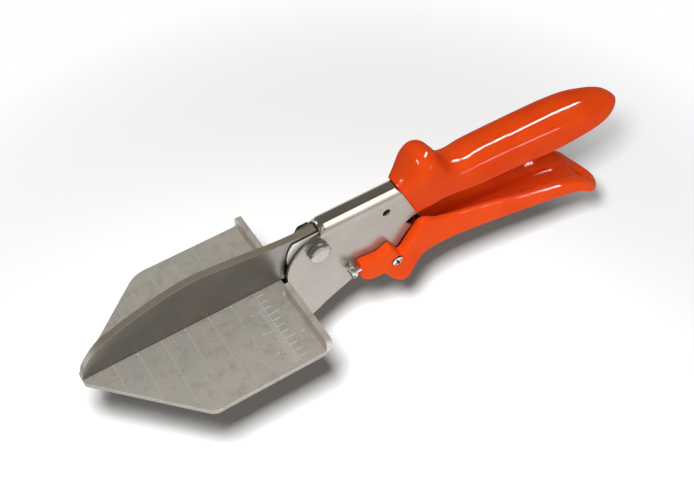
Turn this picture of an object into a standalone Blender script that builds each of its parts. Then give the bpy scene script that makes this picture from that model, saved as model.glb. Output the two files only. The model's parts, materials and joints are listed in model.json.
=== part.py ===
"""Profile shears: a knife lever swings in a folded steel frame and cuts down on a mitre table."""
import math

import bmesh
import bpy
from mathutils import Vector

# Driving dimensions in metres. X runs along the blade to the rear, Y from the near side to the
# far side, Z up. Zero is the blunt tip of the table, on the blade's middle plane, at the table's top.
GAP = 0.0003
OVERRUN = 0.006

# Table, a plate with a fence bent up along its rear edge
TABLE_LENGTH = 0.0828
TABLE_NEAR_REACH = 0.0387
TABLE_FAR_REACH = 0.0323
TABLE_TIP_HALF = 0.0025
TABLE_NEAR_SHOULDER = 0.0351
TABLE_FAR_SHOULDER = 0.0370
TABLE_NEAR_ROUND = 0.0055
TABLE_FAR_ROUND = 0.0130
TABLE_THICKNESS = 0.0023
FENCE_THICKNESS = 0.0025
FENCE_RISE = 0.0063
FENCE_INNER_BEND = 0.0010
FENCE_INSET = 0.0073
FENCE_CORNER = 0.0020
NOTCH_DEPTH = 0.0033
STRIP_HALF = 0.0016
STRIP_THICKNESS = 0.0010
STRIP_START = 0.0040
STRIP_REAR_INSET = 0.0068

# Frame, one sheet folded over its back
SHEET = 0.0016
FRAME_HALF = 0.0042
BACK_TOP = 0.0248
NOSE_X = 0.1035
CHEEK_ARC_X = 0.1030
CHEEK_ARC_Z = 0.0035
CHEEK_ARC_RADIUS = 0.01665
JAW_TIP_X = 0.0080
JAW_TIP_DEPTH = 0.0045
JAW_LENGTH = 0.0914
JAW_DEPTH = 0.0315
HEEL_X = 0.1384
HEEL_DROP = 0.0130
HOOK_X = 0.1455
HOOK_DROP = 0.0022
CATCH_NOTCH_X = 0.1423
CATCH_NOTCH_Z = 0.0016
COAT_CORNER_X = 0.1479
COAT_CORNER_Z = 0.0038
CORE_EDGE_Z = 0.0110
CORE_END_INSET = 0.0190

# Jaw fittings under the table
BAR_DEPTH = 0.0076
BAR_TIP_DEPTH = 0.0016
BAR_START = 0.0095
BAR_END = 0.0830
BRACKET_START = 0.0180
BRACKET_END = 0.0790
BRACKET_REACH = 0.0140
BRACKET_DROP = 0.0078
BRACKET_SHEET = 0.0016
RIVET_RADIUS = 0.0015
RIVET_HEAD_RADIUS = 0.0026
RIVET_HEAD_RISE = 0.0011
RIVET_DROP = 0.0073
SPACER_X = 0.0920
SPACER_DROP = 0.0220
SPACER_RADIUS = 0.0034

# Pivot
PIVOT_X = 0.1003
PIVOT_Z = 0.0123
BOLT_RADIUS = 0.0028
BOLT_HEAD_RADIUS = 0.0047
BOLT_HEAD_RISE = 0.0030
BOLT_HEAD_CROWN = 0.0006
BUSH_RADIUS = 0.0045
WASHER_RADIUS = 0.0050
WASHER_THICKNESS = 0.0006
NUT_ACROSS_FLATS = 0.0080
NUT_THICKNESS = 0.0020
BOLT_PROUD = 0.0004
WEAR_PLATE_RADIUS = 0.0128
WEAR_PLATE_THICKNESS = 0.0005

# Blade and its tang
BLADE_THICKNESS = 0.0030
BLADE_LENGTH = 0.0987
BLADE_HEIGHT = 0.0270
BLADE_EDGE_END = 0.0840
BLADE_BASE_HALF = 0.0011
BLADE_TAPER_TOP = 0.0140
BLADE_BEVEL_TOP = 0.0014
BLADE_EDGE_HALF = 0.00015
BLADE_TAPER_END = 0.0850
PIVOT_BOSS_RADIUS = 0.0102
TANG_LENGTH = 0.0535
TANG_ROOT = 0.0200
TANG_ROOT_HALF = 0.0073
TANG_END_HALF = 0.0046
TANG_RIVET_RADIUS = 0.0015

# Lower handle: a steel trough under an orange coat, with two cheeks that pass outside the frame
LOWER_START = 0.1182
LOWER_LENGTH = 0.1382
LOWER_DROP = 0.0449
LOWER_HALF = 0.0124
LOWER_ROUND = 0.0055
LOWER_WALL = 0.0043
LOWER_WEB_START = 0.1366
CHEEK_CLEAR_DROP = 0.0060
LOWER_SKIN = 0.0015
LOWER_EDGE_SKIN = 0.0010
LOWER_CORE_FRONT_INSET = 0.0068
LOWER_CORE_REAR_INSET = 0.0124
HANDLE_SCREW_X = 0.1365
HANDLE_SCREW_DROP = 0.0160
HANDLE_SCREW_RADIUS = 0.0015
HANDLE_HEAD_RADIUS = 0.0026
HANDLE_HEAD_RISE = 0.0012
HANDLE_NUT_ACROSS_FLATS = 0.0055
HANDLE_NUT_THICKNESS = 0.0020
TANG_SPACER_RADIUS = 0.0026
SLOT_WIDTH = 0.0007
SLOT_DEPTH = 0.0006

# Adjusting screw in the front of the near cheek
ADJUSTER_HEAD_X = 0.1135
ADJUSTER_Y = -0.0073
ADJUSTER_DROP = 0.0092
ADJUSTER_HEAD_RADIUS = 0.0027
ADJUSTER_HEAD_LENGTH = 0.0022
ADJUSTER_RADIUS = 0.0011
ADJUSTER_DEPTH = 0.0055

# Upper handle coat
UPPER_START = 0.1380
UPPER_LENGTH = 0.1190
UPPER_HALF = 0.0103
HUMP_RISE = 0.0138
INNER_COAT = 0.0007
COAT_BLEND_START = 0.1470
COAT_BLEND_END = 0.1680
UPPER_CORE_SKIN = 0.0015

# Spring between the frame's back and the tang
SPRING_X = 0.1325
SPRING_Z = 0.0142
SPRING_HOLE_RADIUS = 0.0021
SPRING_BUSH_RADIUS = 0.0026
SPRING_WIRE_RADIUS = 0.00045
SPRING_COIL_RADIUS = 0.0036
SPRING_PITCH = 0.00136
SPRING_TURNS = 2
SPRING_POINTS = 9
SPRING_BACK_LEG_X = 0.1180
SPRING_TANG_LEG_X = 0.1243

# Catch that drops into the frame's notch
CATCH_PIN_X = 0.14425
CATCH_PIN_DROP = 0.0112
CATCH_PIN_RADIUS = 0.00125
CATCH_HUB_RADIUS = 0.0025
CATCH_BAR_X = 0.1490
CATCH_BAR_Z = 0.0
CATCH_BAR_RADIUS = 0.0012
CATCH_ARM_HALF = 0.0012

ROUND_STEPS = 20
SMALL_STEPS = 12
ARCH_STEPS = 10
CORNER_STEPS = 4

# Blade back, as shares of the blade's length to the boss and of its height
BLADE_BACK_SHARES = (
    (0.001, 0.0), (0.007, 0.152), (0.016, 0.24), (0.032, 0.33), (0.049, 0.408), (0.084, 0.541),
    (0.108, 0.611), (0.158, 0.68), (0.202, 0.748), (0.248, 0.804), (0.287, 0.848), (0.329, 0.892),
    (0.414, 0.963), (0.498, 1.0), (0.580, 0.974), (0.666, 0.935), (0.751, 0.893), (0.838, 0.845),
    (0.927, 0.834), (1.0, 0.833),
)
# Jaw belly under the table, as shares of the jaw's length and depth, tip first
JAW_BELLY_SHARES = (
    (0.10, 0.22), (0.26, 0.40), (0.44, 0.60), (0.62, 0.80), (0.76, 0.93), (0.87, 1.0), (0.94, 0.985),
    (1.0, 0.921), (1.044, 0.832), (1.097, 0.743), (1.152, 0.663), (1.184, 0.61),
)
# Relief above the tang's spacer, from the belly's end to the heel, as shares of the way there and
# of the heel's drop
HEEL_RELIEF_SHARES = ((0.35, 1.31), (0.67, 0.96), (0.87, 0.73), (0.93, 0.83))
# Upper grip: share of its length, of its half width, and of the hump's rise above the back
UPPER_GRIP_SHARES = (
    (0.0, 0.515, 0.08), (0.021, 0.602, 0.232), (0.046, 0.738, 0.558), (0.071, 0.854, 0.884),
    (0.097, 0.893, 1.0), (0.122, 0.893, 0.942), (0.151, 0.874, 0.667), (0.181, 0.854, 0.297),
    (0.206, 0.854, 0.072), (0.235, 0.874, -0.014), (0.311, 0.913, 0.029), (0.437, 0.951, 0.022),
    (0.563, 0.981, -0.007), (0.689, 1.0, -0.058), (0.79, 1.0, -0.181), (0.857, 0.932, -0.348),
    (0.908, 0.80, -0.493), (0.941, 0.641, -0.623), (0.966, 0.447, -0.783), (0.987, 0.214, -0.964),
    (1.0, 0.049, -1.145),
)
# Lower edge of the upper grip: share of its length and of the back's height
UPPER_EDGE_SHARES = (
    (0.084, 0.153), (0.105, 0.282), (0.137, 0.383), (0.227, 0.379), (0.319, 0.347), (0.496, 0.323),
    (0.664, 0.262), (0.798, 0.298), (0.941, 0.323), (1.0, 0.353),
)
# Lean of the coat's front rings: share of the grip's length, and run per unit of drop
UPPER_LEAN_SHARES = ((0.0, 0.475), (0.084, 0.40), (0.311, 0.0), (1.0, 0.0))
# Lower grip: shares of its length, of the drop for its lip and for its underside, of the way its
# sides spread from the cheeks to the half width, and of its corner rounding
LOWER_GRIP_SHARES = (
    (0, 0.134, 0.312, 0, 0.18), (0.01, 0.138, 0.37, 0, 0.22), (0.028, 0.147, 0.428, 0, 0.27),
    (0.049, 0.16, 0.454, 0, 0.27), (0.067, 0.167, 0.463, 0, 0.27), (0.089, 0.134, 0.472, 0, 0.27),
    (0.11, 0.114, 0.575, 0, 0.36), (0.129, 0.203, 0.672, 0, 0.55), (0.147, 0.287, 0.742, 0, 0.73),
    (0.1535, 0.283, 0.764, 0, 0.75), (0.17, 0.207, 0.788, 0, 0.75), (0.187, 0.127, 0.762, 0, 0.75),
    (0.203, 0.051, 0.659, 0, 0.8), (0.219, -0.016, 0.579, 0, 0.9), (0.234, -0.027, 0.539, 0, 1),
    (0.252, -0.004, 0.517, 0, 1), (0.274, 0.04, 0.506, 0, 1), (0.302, 0.073, 0.503, 0, 1),
    (0.346, 0.12, 0.51, 0, 1), (0.407, 0.174, 0.535, 0.029, 0.96), (0.469, 0.232, 0.559, 0.084, 0.93),
    (0.527, 0.276, 0.581, 0.194, 0.89), (0.585, 0.334, 0.604, 0.304, 0.85),
    (0.65, 0.385, 0.63, 0.445, 0.82), (0.715, 0.434, 0.657, 0.583, 0.78), (0.78, 0.479, 0.684, 0.749, 0.75),
    (0.845, 0.541, 0.726, 0.917, 0.71), (0.881, 0.597, 0.775, 1, 0.67), (0.917, 0.695, 0.851, 1, 0.62),
    (0.943, 0.784, 0.904, 1, 0.53), (0.965, 0.844, 0.947, 1, 0.42), (0.983, 0.891, 0.98, 1, 0.33),
    (0.994, 0.92, 0.996, 1, 0.24), (1, 0.94, 1, 1, 0.13),
)
# Rounding of the lower grip's open end in plan: shares of its length and of its half width
LOWER_TIP_SHARES = ((0.917, 1), (0.943, 0.871), (0.965, 0.694), (0.983, 0.468), (0.994, 0.274), (1, 0.129))
RIVET_SHARES = (0.25, 0.55, 0.85)

TABLE_UNDERSIDE = -TABLE_THICKNESS
STRIP_END = TABLE_LENGTH - STRIP_REAR_INSET
FENCE_REAR_X = TABLE_LENGTH + FENCE_THICKNESS
INNER_HALF = FRAME_HALF - SHEET
LOWER_CLEAR_HALF = FRAME_HALF + GAP
GRIP_FACE = LOWER_CLEAR_HALF + LOWER_WALL
LOWER_CORE_START = LOWER_START + LOWER_CORE_FRONT_INSET
LOWER_CORE_END = LOWER_START + LOWER_LENGTH - LOWER_CORE_REAR_INSET
CORE_END_X = UPPER_START + UPPER_LENGTH - CORE_END_INSET
PIVOT = Vector((PIVOT_X, 0.0, PIVOT_Z))
HANDLE_SCREW = Vector((HANDLE_SCREW_X, 0.0, -HANDLE_SCREW_DROP))
CATCH_PIN = Vector((CATCH_PIN_X, 0.0, -CATCH_PIN_DROP))
SPACER = Vector((SPACER_X, 0.0, -SPACER_DROP))
SPRING_CENTRE = Vector((SPRING_X, 0.0, SPRING_Z))
TANG_LINE = (HANDLE_SCREW - PIVOT).normalized()
TANG_SIDE = Vector((-TANG_LINE.z, 0.0, TANG_LINE.x))
TANG_RIVET = PIVOT + TANG_LINE * TANG_LENGTH


def clear_scene():
    for item in list(bpy.data.objects):
        bpy.data.objects.remove(item, do_unlink=True)


def make_material(name, colour, roughness, metallic):
    material = bpy.data.materials.new(name)
    material.use_nodes = True
    shader = material.node_tree.nodes["Principled BSDF"]
    shader.inputs["Base Color"].default_value = (*colour, 1)
    shader.inputs["Roughness"].default_value = roughness
    shader.inputs["Metallic"].default_value = metallic
    material.diffuse_color = (*colour, 1)
    return material


def new_object(name, shape):
    """Close a bmesh into an object whose faces point outwards."""
    bmesh.ops.recalc_face_normals(shape, faces=shape.faces)
    mesh = bpy.data.meshes.new(name)
    shape.to_mesh(mesh)
    shape.free()
    item = bpy.data.objects.new(name, mesh)
    bpy.context.scene.collection.objects.link(item)
    return item


def place(axis, first, second, along):
    """A point from two outline coordinates and the distance along the extrusion's axis."""
    if axis == "X":
        return Vector((along, first, second))
    if axis == "Y":
        return Vector((first, along, second))
    return Vector((first, second, along))


def loft(name, rings):
    """Skin closed rings of equal count and cap both ends."""
    shape = bmesh.new()
    rows = [[shape.verts.new(point) for point in ring] for ring in rings]
    count = len(rows[0])
    for row, following in zip(rows, rows[1:]):
        for index in range(count):
            after = (index + 1) % count
            shape.faces.new((row[index], row[after], following[after], following[index]))
    shape.faces.new(rows[0])
    shape.faces.new(rows[-1])
    return new_object(name, shape)


def prism(name, outline, axis, low, high):
    return loft(name, [[place(axis, *point, along) for point in outline] for along in (low, high)])


def arc(centre, radius, start, end, steps):
    """Points of an arc in outline coordinates, angles in degrees."""
    turns = [math.radians(start + (end - start) * index / steps) for index in range(steps + 1)]
    return [(centre[0] + radius * math.cos(turn), centre[1] + radius * math.sin(turn)) for turn in turns]


def circle(centre, radius, steps=ROUND_STEPS):
    return arc(centre, radius, 0, 360, steps)[:-1]


def rod(name, axis, centre, radius, low, high, steps=ROUND_STEPS):
    return prism(name, circle(centre, radius, steps), axis, low, high)


def cross(point):
    """The outline coordinates of a point for an extrusion along Y."""
    return (point.x, point.z)


def sleeve(name, centre, outline, bore, low, high):
    """A solid along Y between an outline and a round bore with the same number of points."""
    hole = circle(centre, bore, len(outline))
    shape = bmesh.new()
    loops = [[shape.verts.new(place("Y", *point, along)) for point in path]
             for path, along in ((outline, low), (outline, high), (hole, high), (hole, low))]
    count = len(outline)
    for loop, following in zip(loops, loops[1:] + loops[:1]):
        for index in range(count):
            after = (index + 1) % count
            shape.faces.new((loop[index], loop[after], following[after], following[index]))
    return new_object(name, shape)


def hexagon(centre, across_flats, steps=ROUND_STEPS):
    """A six-sided outline with extra points along its flats, so that it can carry a round bore."""
    radius = across_flats / math.sqrt(3)
    points = []
    for index in range(6):
        start, end = (Vector((math.cos(turn), math.sin(turn))) * radius
                      for turn in (math.radians(60 * index), math.radians(60 * index + 60)))
        for step in range(steps // 6):
            point = start.lerp(end, step / (steps // 6))
            points.append((centre[0] + point.x, centre[1] + point.y))
    return points


def combine(target, tool, operation):
    """Cut, join or intersect with a hidden tool that follows its target."""
    tool.parent = target
    tool.hide_render = True
    tool.display_type = "WIRE"
    step = target.modifiers.new(operation.lower(), "BOOLEAN")
    step.operation = operation
    step.object = tool
    step.solver = "EXACT"
    return target


def cut(target, *tools):
    for tool in tools:
        combine(target, tool, "DIFFERENCE")
    return target


def drill(target, name, centre, radius, low, high, steps=ROUND_STEPS):
    return cut(target, rod(name, "Y", cross(centre), radius, low, high, steps))


def blend(table, position, column):
    """Straight-line value of one column of a table of shares."""
    for before, after in zip(table, table[1:]):
        if position <= after[0]:
            step = max(0.0, (position - before[0]) / (after[0] - before[0]))
            return before[column] + step * (after[column] - before[column])
    return table[-1][column]


def finish(item, material, parent, origin=None):
    """Give a piece its material and its parent, leaving it where it was modelled."""
    item.data.materials.append(material)
    item.data.shade_smooth()
    item.data.set_sharp_from_angle(angle=math.radians(32))
    item.parent = parent
    if origin is not None:
        item.location = -origin
    return item


def rounded_corner(before, corner, after, radius, steps):
    """Arc that rounds one corner of an outline."""
    first = (Vector(before) - Vector(corner)).normalized()
    second = (Vector(after) - Vector(corner)).normalized()
    half = first.angle(second) / 2
    centre = Vector(corner) + (first + second).normalized() * radius / math.sin(half)
    start = Vector(corner) + first * radius / math.tan(half)
    end = Vector(corner) + second * radius / math.tan(half)
    spokes = [(start - centre).lerp(end - centre, index / steps).normalized() for index in range(steps + 1)]
    return [tuple(centre + spoke * radius) for spoke in spokes]


# Table and jaw

def table_plan():
    """Plan of the table seen from above, blunt tip first, with its two rounded shoulders."""
    tip_near, tip_far = (0.0, -TABLE_TIP_HALF), (0.0, TABLE_TIP_HALF)
    near, far = (TABLE_NEAR_SHOULDER, -TABLE_NEAR_REACH), (TABLE_FAR_SHOULDER, TABLE_FAR_REACH)
    rear_near = (FENCE_REAR_X + OVERRUN, -TABLE_NEAR_REACH)
    rear_far = (FENCE_REAR_X + OVERRUN, TABLE_FAR_REACH)
    near_turn = rounded_corner(tip_near, near, rear_near, TABLE_NEAR_ROUND, CORNER_STEPS)
    far_turn = rounded_corner(rear_far, far, tip_far, TABLE_FAR_ROUND, CORNER_STEPS)
    return [tip_near, *near_turn, rear_near, rear_far, *far_turn, tip_far]


def make_table():
    """Plate and fence as one bent sheet, trimmed to its plan, notched for the frame."""
    outer_bend = FENCE_INNER_BEND + FENCE_THICKNESS
    bend = (TABLE_LENGTH - FENCE_INNER_BEND, FENCE_INNER_BEND)
    outer = (FENCE_REAR_X - outer_bend, TABLE_UNDERSIDE + outer_bend)
    profile = [(-OVERRUN, TABLE_UNDERSIDE), *arc(outer, outer_bend, -90, 0, CORNER_STEPS),
               (FENCE_REAR_X, FENCE_RISE), (TABLE_LENGTH, FENCE_RISE),
               *arc(bend, FENCE_INNER_BEND, 0, -90, CORNER_STEPS), (-OVERRUN, 0.0)]
    table = prism("anvil_table", profile, "Y", -TABLE_NEAR_REACH - OVERRUN, TABLE_FAR_REACH + OVERRUN)
    plan = prism("table_plan", table_plan(), "Z", TABLE_UNDERSIDE - OVERRUN, FENCE_RISE + OVERRUN)
    combine(table, plan, "INTERSECT")
    rear = FENCE_REAR_X + OVERRUN
    notch = [(TABLE_LENGTH - NOTCH_DEPTH, -FENCE_INSET), (rear, -FENCE_INSET),
             (rear, FENCE_INSET), (TABLE_LENGTH - NOTCH_DEPTH, FENCE_INSET)]
    groove = [(STRIP_START - GAP, -STRIP_HALF - GAP), (STRIP_END + GAP, -STRIP_HALF - GAP),
              (STRIP_END + GAP, STRIP_HALF + GAP), (STRIP_START - GAP, STRIP_HALF + GAP)]
    cut(table, prism("fence_notch", notch, "Z", TABLE_UNDERSIDE - OVERRUN, FENCE_RISE + OVERRUN),
        prism("strip_groove", groove, "Z", -STRIP_THICKNESS - GAP, OVERRUN))
    for side, reach in ((-1, TABLE_NEAR_REACH), (1, TABLE_FAR_REACH)):
        cut(table, fence_corner(side, reach))
    return table


def fence_corner(side, reach):
    """Waste outside the rounded top outer corner of the fence."""
    centre = (side * (reach - FENCE_CORNER), FENCE_RISE - FENCE_CORNER)
    edge, top = side * (reach + OVERRUN), FENCE_RISE + OVERRUN
    turn = arc(centre, FENCE_CORNER, 90 - side * 90, 90, CORNER_STEPS)
    outline = [*turn, (centre[0], top), (edge, top), (edge, centre[1])]
    return prism("fence_corner", outline, "X", TABLE_LENGTH - OVERRUN / 2, FENCE_REAR_X + OVERRUN)


def make_strip():
    return prism("anvil_strip", [(STRIP_START, -STRIP_HALF), (STRIP_END, -STRIP_HALF),
                                 (STRIP_END, STRIP_HALF), (STRIP_START, STRIP_HALF)],
                 "Z", -STRIP_THICKNESS, 0.0)


def rivet_places():
    span = BRACKET_END - BRACKET_START
    return [Vector((BRACKET_START + span * share, 0.0, -RIVET_DROP)) for share in RIVET_SHARES]


def make_bar():
    """Bar between the frame's walls that backs the table under the blade."""
    top = TABLE_UNDERSIDE - GAP
    half = INNER_HALF - GAP
    outline = [(BAR_START, top), (BAR_START, top - BAR_TIP_DEPTH),
               (BRACKET_START + BAR_DEPTH, top - BAR_DEPTH), (BAR_END, top - BAR_DEPTH), (BAR_END, top)]
    bar = prism("anvil_bar", outline, "Y", -half, half)
    for number, centre in enumerate(rivet_places()):
        drill(bar, f"bar_hole_{number}", centre, RIVET_RADIUS + GAP, -FRAME_HALF, FRAME_HALF, SMALL_STEPS)
    return bar


def make_bracket(name, side):
    """Angle strip that ties one half of the table to one wall of the frame."""
    top = TABLE_UNDERSIDE - GAP
    inner = side * (FRAME_HALF + GAP)
    outer = inner + side * BRACKET_SHEET
    profile = [(inner, top), (side * BRACKET_REACH, top), (side * BRACKET_REACH, top - BRACKET_SHEET),
               (outer, top - BRACKET_SHEET), (outer, top - BRACKET_DROP), (inner, top - BRACKET_DROP)]
    bracket = prism(name, profile, "X", BRACKET_START, BRACKET_END)
    low, high = sorted((inner - side * GAP, outer + side * GAP))
    for number, centre in enumerate(rivet_places()):
        drill(bracket, f"{name}_hole_{number}", centre, RIVET_RADIUS + GAP, low, high, SMALL_STEPS)
    return bracket


def make_rivet(name, centre, grip):
    """Round-headed rivet along Y that clamps from minus grip to plus grip."""
    reach = grip + GAP
    spots = [(-reach - RIVET_HEAD_RISE, RIVET_RADIUS), (-reach - RIVET_HEAD_RISE / 2, RIVET_HEAD_RADIUS),
             (-reach, RIVET_HEAD_RADIUS), (-reach, RIVET_RADIUS), (reach, RIVET_RADIUS),
             (reach, RIVET_HEAD_RADIUS), (reach + RIVET_HEAD_RISE / 2, RIVET_HEAD_RADIUS),
             (reach + RIVET_HEAD_RISE, RIVET_RADIUS)]
    rings = [[place("Y", *point, along) for point in circle(cross(centre), radius, SMALL_STEPS)]
             for along, radius in spots]
    return loft(name, rings)


def make_rivets():
    """The jaw's cross rivets, through brackets, walls and bar, and the one behind the table."""
    bracket_face = FRAME_HALF + GAP + BRACKET_SHEET
    rivets = [make_rivet(f"jaw_rivet_{number}", centre, bracket_face)
              for number, centre in enumerate(rivet_places(), 1)]
    return [*rivets, make_rivet("spacer_rivet", SPACER, FRAME_HALF)]


def make_jaw_spacer():
    half = INNER_HALF - GAP
    outline = circle(cross(SPACER), SPACER_RADIUS)
    return sleeve("jaw_spacer", cross(SPACER), outline, RIVET_RADIUS + GAP, -half, half)


# Frame

def core_half(x):
    """Half width of the folded sheet: plain in front, following the grip behind."""
    step = min(1.0, max(0.0, (x - COAT_BLEND_START) / (COAT_BLEND_END - COAT_BLEND_START)))
    share = min(1.0, max(0.0, (x - UPPER_START) / UPPER_LENGTH))
    wide = blend(UPPER_GRIP_SHARES, share, 1) * UPPER_HALF - UPPER_CORE_SKIN - GAP
    return FRAME_HALF + (wide - FRAME_HALF) * step


def grip_top(share):
    return BACK_TOP + HUMP_RISE * blend(UPPER_GRIP_SHARES, share, 2)


def core_top(x):
    share = min(1.0, max(0.0, (x - UPPER_START) / UPPER_LENGTH))
    if x <= UPPER_START:
        return BACK_TOP
    return min(BACK_TOP, grip_top(share) - UPPER_CORE_SKIN - GAP)


def arch_ring(half, top, bottom, place_x):
    """Upside-down U outline closed along its bottom; place_x gives X from a height."""
    spring_line = top - half
    curve = [(half * math.cos(turn), spring_line + half * math.sin(turn))
             for turn in (math.pi * (1 - index / ARCH_STEPS) for index in range(ARCH_STEPS + 1))]
    outline = [(-half, bottom), *curve, (half, bottom)]
    return [Vector((place_x(z), y, z)) for y, z in outline]


def core_stations(end):
    """Places along X where the folded sheet changes shape."""
    spots = [UPPER_START + UPPER_LENGTH * row[0] for row in UPPER_GRIP_SHARES]
    inside = [x for x in spots if COAT_BLEND_START < x < end]
    return [-OVERRUN, COAT_BLEND_START, *inside, end]


def frame_solid(name, inset, end):
    """Solid arch whose faces lie inside the sheet's outer faces by inset."""
    floor = -JAW_DEPTH - 2 * OVERRUN
    rings = [arch_ring(core_half(x) - inset, core_top(x) - inset, floor, lambda z, x=x: x)
             for x in core_stations(end)]
    return loft(name, rings)


def core_edge(clearance):
    """Lower edge of the sheet inside the upper grip, from the coat's corner to the rear."""
    end = CORE_END_X + clearance
    slope = (CORE_EDGE_Z - COAT_CORNER_Z) / 2
    return [(COAT_CORNER_X + clearance, COAT_CORNER_Z - clearance),
            (COAT_CORNER_X + SHEET / 2 + clearance, COAT_CORNER_Z + slope / 2 - clearance),
            (COAT_CORNER_X + slope + clearance, CORE_EDGE_Z - slope / 2),
            (COAT_CORNER_X + 2 * slope, CORE_EDGE_Z - clearance),
            (end, CORE_EDGE_Z - clearance), (end, BACK_TOP + OVERRUN)]


def frame_outline():
    """Side view of the folded sheet, from the nose round the jaw and back along the handle."""
    under = TABLE_UNDERSIDE - GAP
    centre = (CHEEK_ARC_X, CHEEK_ARC_Z)
    drop = math.degrees(math.asin((CHEEK_ARC_Z - TABLE_UNDERSIDE / 2) / CHEEK_ARC_RADIUS))
    front = arc(centre, CHEEK_ARC_RADIUS, 90, 180 + drop, ARCH_STEPS)
    belly = [(JAW_TIP_X + JAW_LENGTH * along, -JAW_DEPTH * drop_share)
             for along, drop_share in JAW_BELLY_SHARES]
    belly_end = belly[-1][0]
    relief = [(belly_end + (HEEL_X - belly_end) * along, -HEEL_DROP * drop_share)
              for along, drop_share in HEEL_RELIEF_SHARES]
    return [(NOSE_X, BACK_TOP + OVERRUN), (NOSE_X, front[0][1]), *front[1:], (front[-1][0] + GAP, under),
            (JAW_TIP_X, under), (JAW_TIP_X, -JAW_TIP_DEPTH), *belly, *relief, (HEEL_X, -HEEL_DROP),
            (HOOK_X, -HOOK_DROP), (CATCH_NOTCH_X, CATCH_NOTCH_Z), *core_edge(0.0)]


def make_frame():
    """Folded sheet: the arch, trimmed to its side view and hollowed to its inner faces."""
    frame = frame_solid("frame_channel", 0.0, CORE_END_X + OVERRUN)
    side = prism("frame_side", frame_outline(), "Y", -UPPER_HALF, UPPER_HALF)
    combine(frame, side, "INTERSECT")
    cut(frame, frame_solid("frame_hollow", SHEET, CORE_END_X + 2 * OVERRUN))
    through = FRAME_HALF + OVERRUN
    drill(frame, "pivot_hole", PIVOT, BOLT_RADIUS + GAP, -through, through)
    drill(frame, "spring_hole", SPRING_CENTRE, SPRING_HOLE_RADIUS, -through, through)
    drill(frame, "spacer_hole", SPACER, RIVET_RADIUS + GAP, -through, through, SMALL_STEPS)
    for number, centre in enumerate(rivet_places()):
        drill(frame, f"jaw_hole_{number}", centre, RIVET_RADIUS + GAP, -through, through, SMALL_STEPS)
    return frame


# Pivot

def make_bolt():
    """Pivot bolt with a low domed head on the near side."""
    face = -FRAME_HALF - GAP
    tail = FRAME_HALF + GAP + WASHER_THICKNESS + GAP + NUT_THICKNESS + BOLT_PROUD
    crown = face - BOLT_HEAD_RISE
    spots = [(crown, BOLT_HEAD_RADIUS / 2), (crown + BOLT_HEAD_CROWN / 3, BOLT_HEAD_RADIUS * 3 / 4),
             (crown + BOLT_HEAD_CROWN, BOLT_HEAD_RADIUS), (face, BOLT_HEAD_RADIUS), (face, BOLT_RADIUS),
             (tail - BOLT_PROUD / 2, BOLT_RADIUS), (tail, BOLT_RADIUS - BOLT_PROUD / 2)]
    return loft("pivot_bolt", [[place("Y", *point, along) for point in circle(cross(PIVOT), radius)]
                               for along, radius in spots])


def make_washer():
    low = FRAME_HALF + GAP
    return sleeve("pivot_washer", cross(PIVOT), circle(cross(PIVOT), WASHER_RADIUS), BOLT_RADIUS + GAP,
                  low, low + WASHER_THICKNESS)


def make_nut():
    low = FRAME_HALF + GAP + WASHER_THICKNESS + GAP
    return sleeve("pivot_nut", cross(PIVOT), hexagon(cross(PIVOT), NUT_ACROSS_FLATS), BOLT_RADIUS + GAP,
                  low, low + NUT_THICKNESS)


def make_bush():
    half = INNER_HALF - GAP
    outline = circle(cross(PIVOT), BUSH_RADIUS)
    return sleeve("pivot_bush", cross(PIVOT), outline, BOLT_RADIUS + GAP, -half, half)


def make_wear_plate(name, side):
    """Thin disc between a wall and the blade, flat along its top under the frame's fold."""
    flat = BACK_TOP - FRAME_HALF - GAP - PIVOT_Z
    reach = math.degrees(math.asin(flat / WEAR_PLATE_RADIUS))
    outline = arc(cross(PIVOT), WEAR_PLATE_RADIUS, 180 - reach, 360 + reach, ROUND_STEPS + 4)
    low, high = sorted((side * (INNER_HALF - GAP), side * (INNER_HALF - GAP - WEAR_PLATE_THICKNESS)))
    plate = prism(name, outline, "Y", low, high)
    return drill(plate, f"{name}_hole", PIVOT, BUSH_RADIUS + GAP, -FRAME_HALF, FRAME_HALF)


# Blade

def tang_point(along, side):
    return cross(PIVOT + TANG_LINE * along + TANG_SIDE * side)


def blade_outline():
    """Edge along the table, curved back, boss round the pivot and tang down to its rounded end."""
    back = [(BLADE_LENGTH * along, GAP + (BLADE_HEIGHT - GAP) * rise) for along, rise in BLADE_BACK_SHARES]
    boss = arc(cross(PIVOT), PIVOT_BOSS_RADIUS, 90, 40, CORNER_STEPS)
    tang_turn = math.degrees(math.atan2(TANG_LINE.z, TANG_LINE.x))
    tang_end = arc(cross(TANG_RIVET), TANG_END_HALF, tang_turn + 90, tang_turn - 90, SMALL_STEPS // 2)
    throat = arc(cross(PIVOT), PIVOT_BOSS_RADIUS + BLADE_BEVEL_TOP, tang_turn - 40, -100, CORNER_STEPS)
    return [*back, *boss, tang_point(TANG_ROOT, TANG_ROOT_HALF), *tang_end,
            tang_point(TANG_ROOT, -TANG_ROOT_HALF), *throat,
            (BLADE_EDGE_END + BLADE_BEVEL_TOP, GAP + BLADE_BEVEL_TOP / 2), (BLADE_EDGE_END, GAP)]


def edge_waste(name, side):
    """Metal ground off one face: a long taper and a short bevel down to the edge."""
    full = BLADE_THICKNESS / 2
    wide = full + OVERRUN
    outline = [(full, BLADE_TAPER_TOP), (BLADE_BASE_HALF, BLADE_BEVEL_TOP), (BLADE_EDGE_HALF, GAP),
               (BLADE_EDGE_HALF, -OVERRUN), (wide, -OVERRUN), (wide, BLADE_TAPER_TOP)]
    return prism(name, [(side * y, z) for y, z in outline], "X", -OVERRUN, BLADE_TAPER_END)


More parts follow.
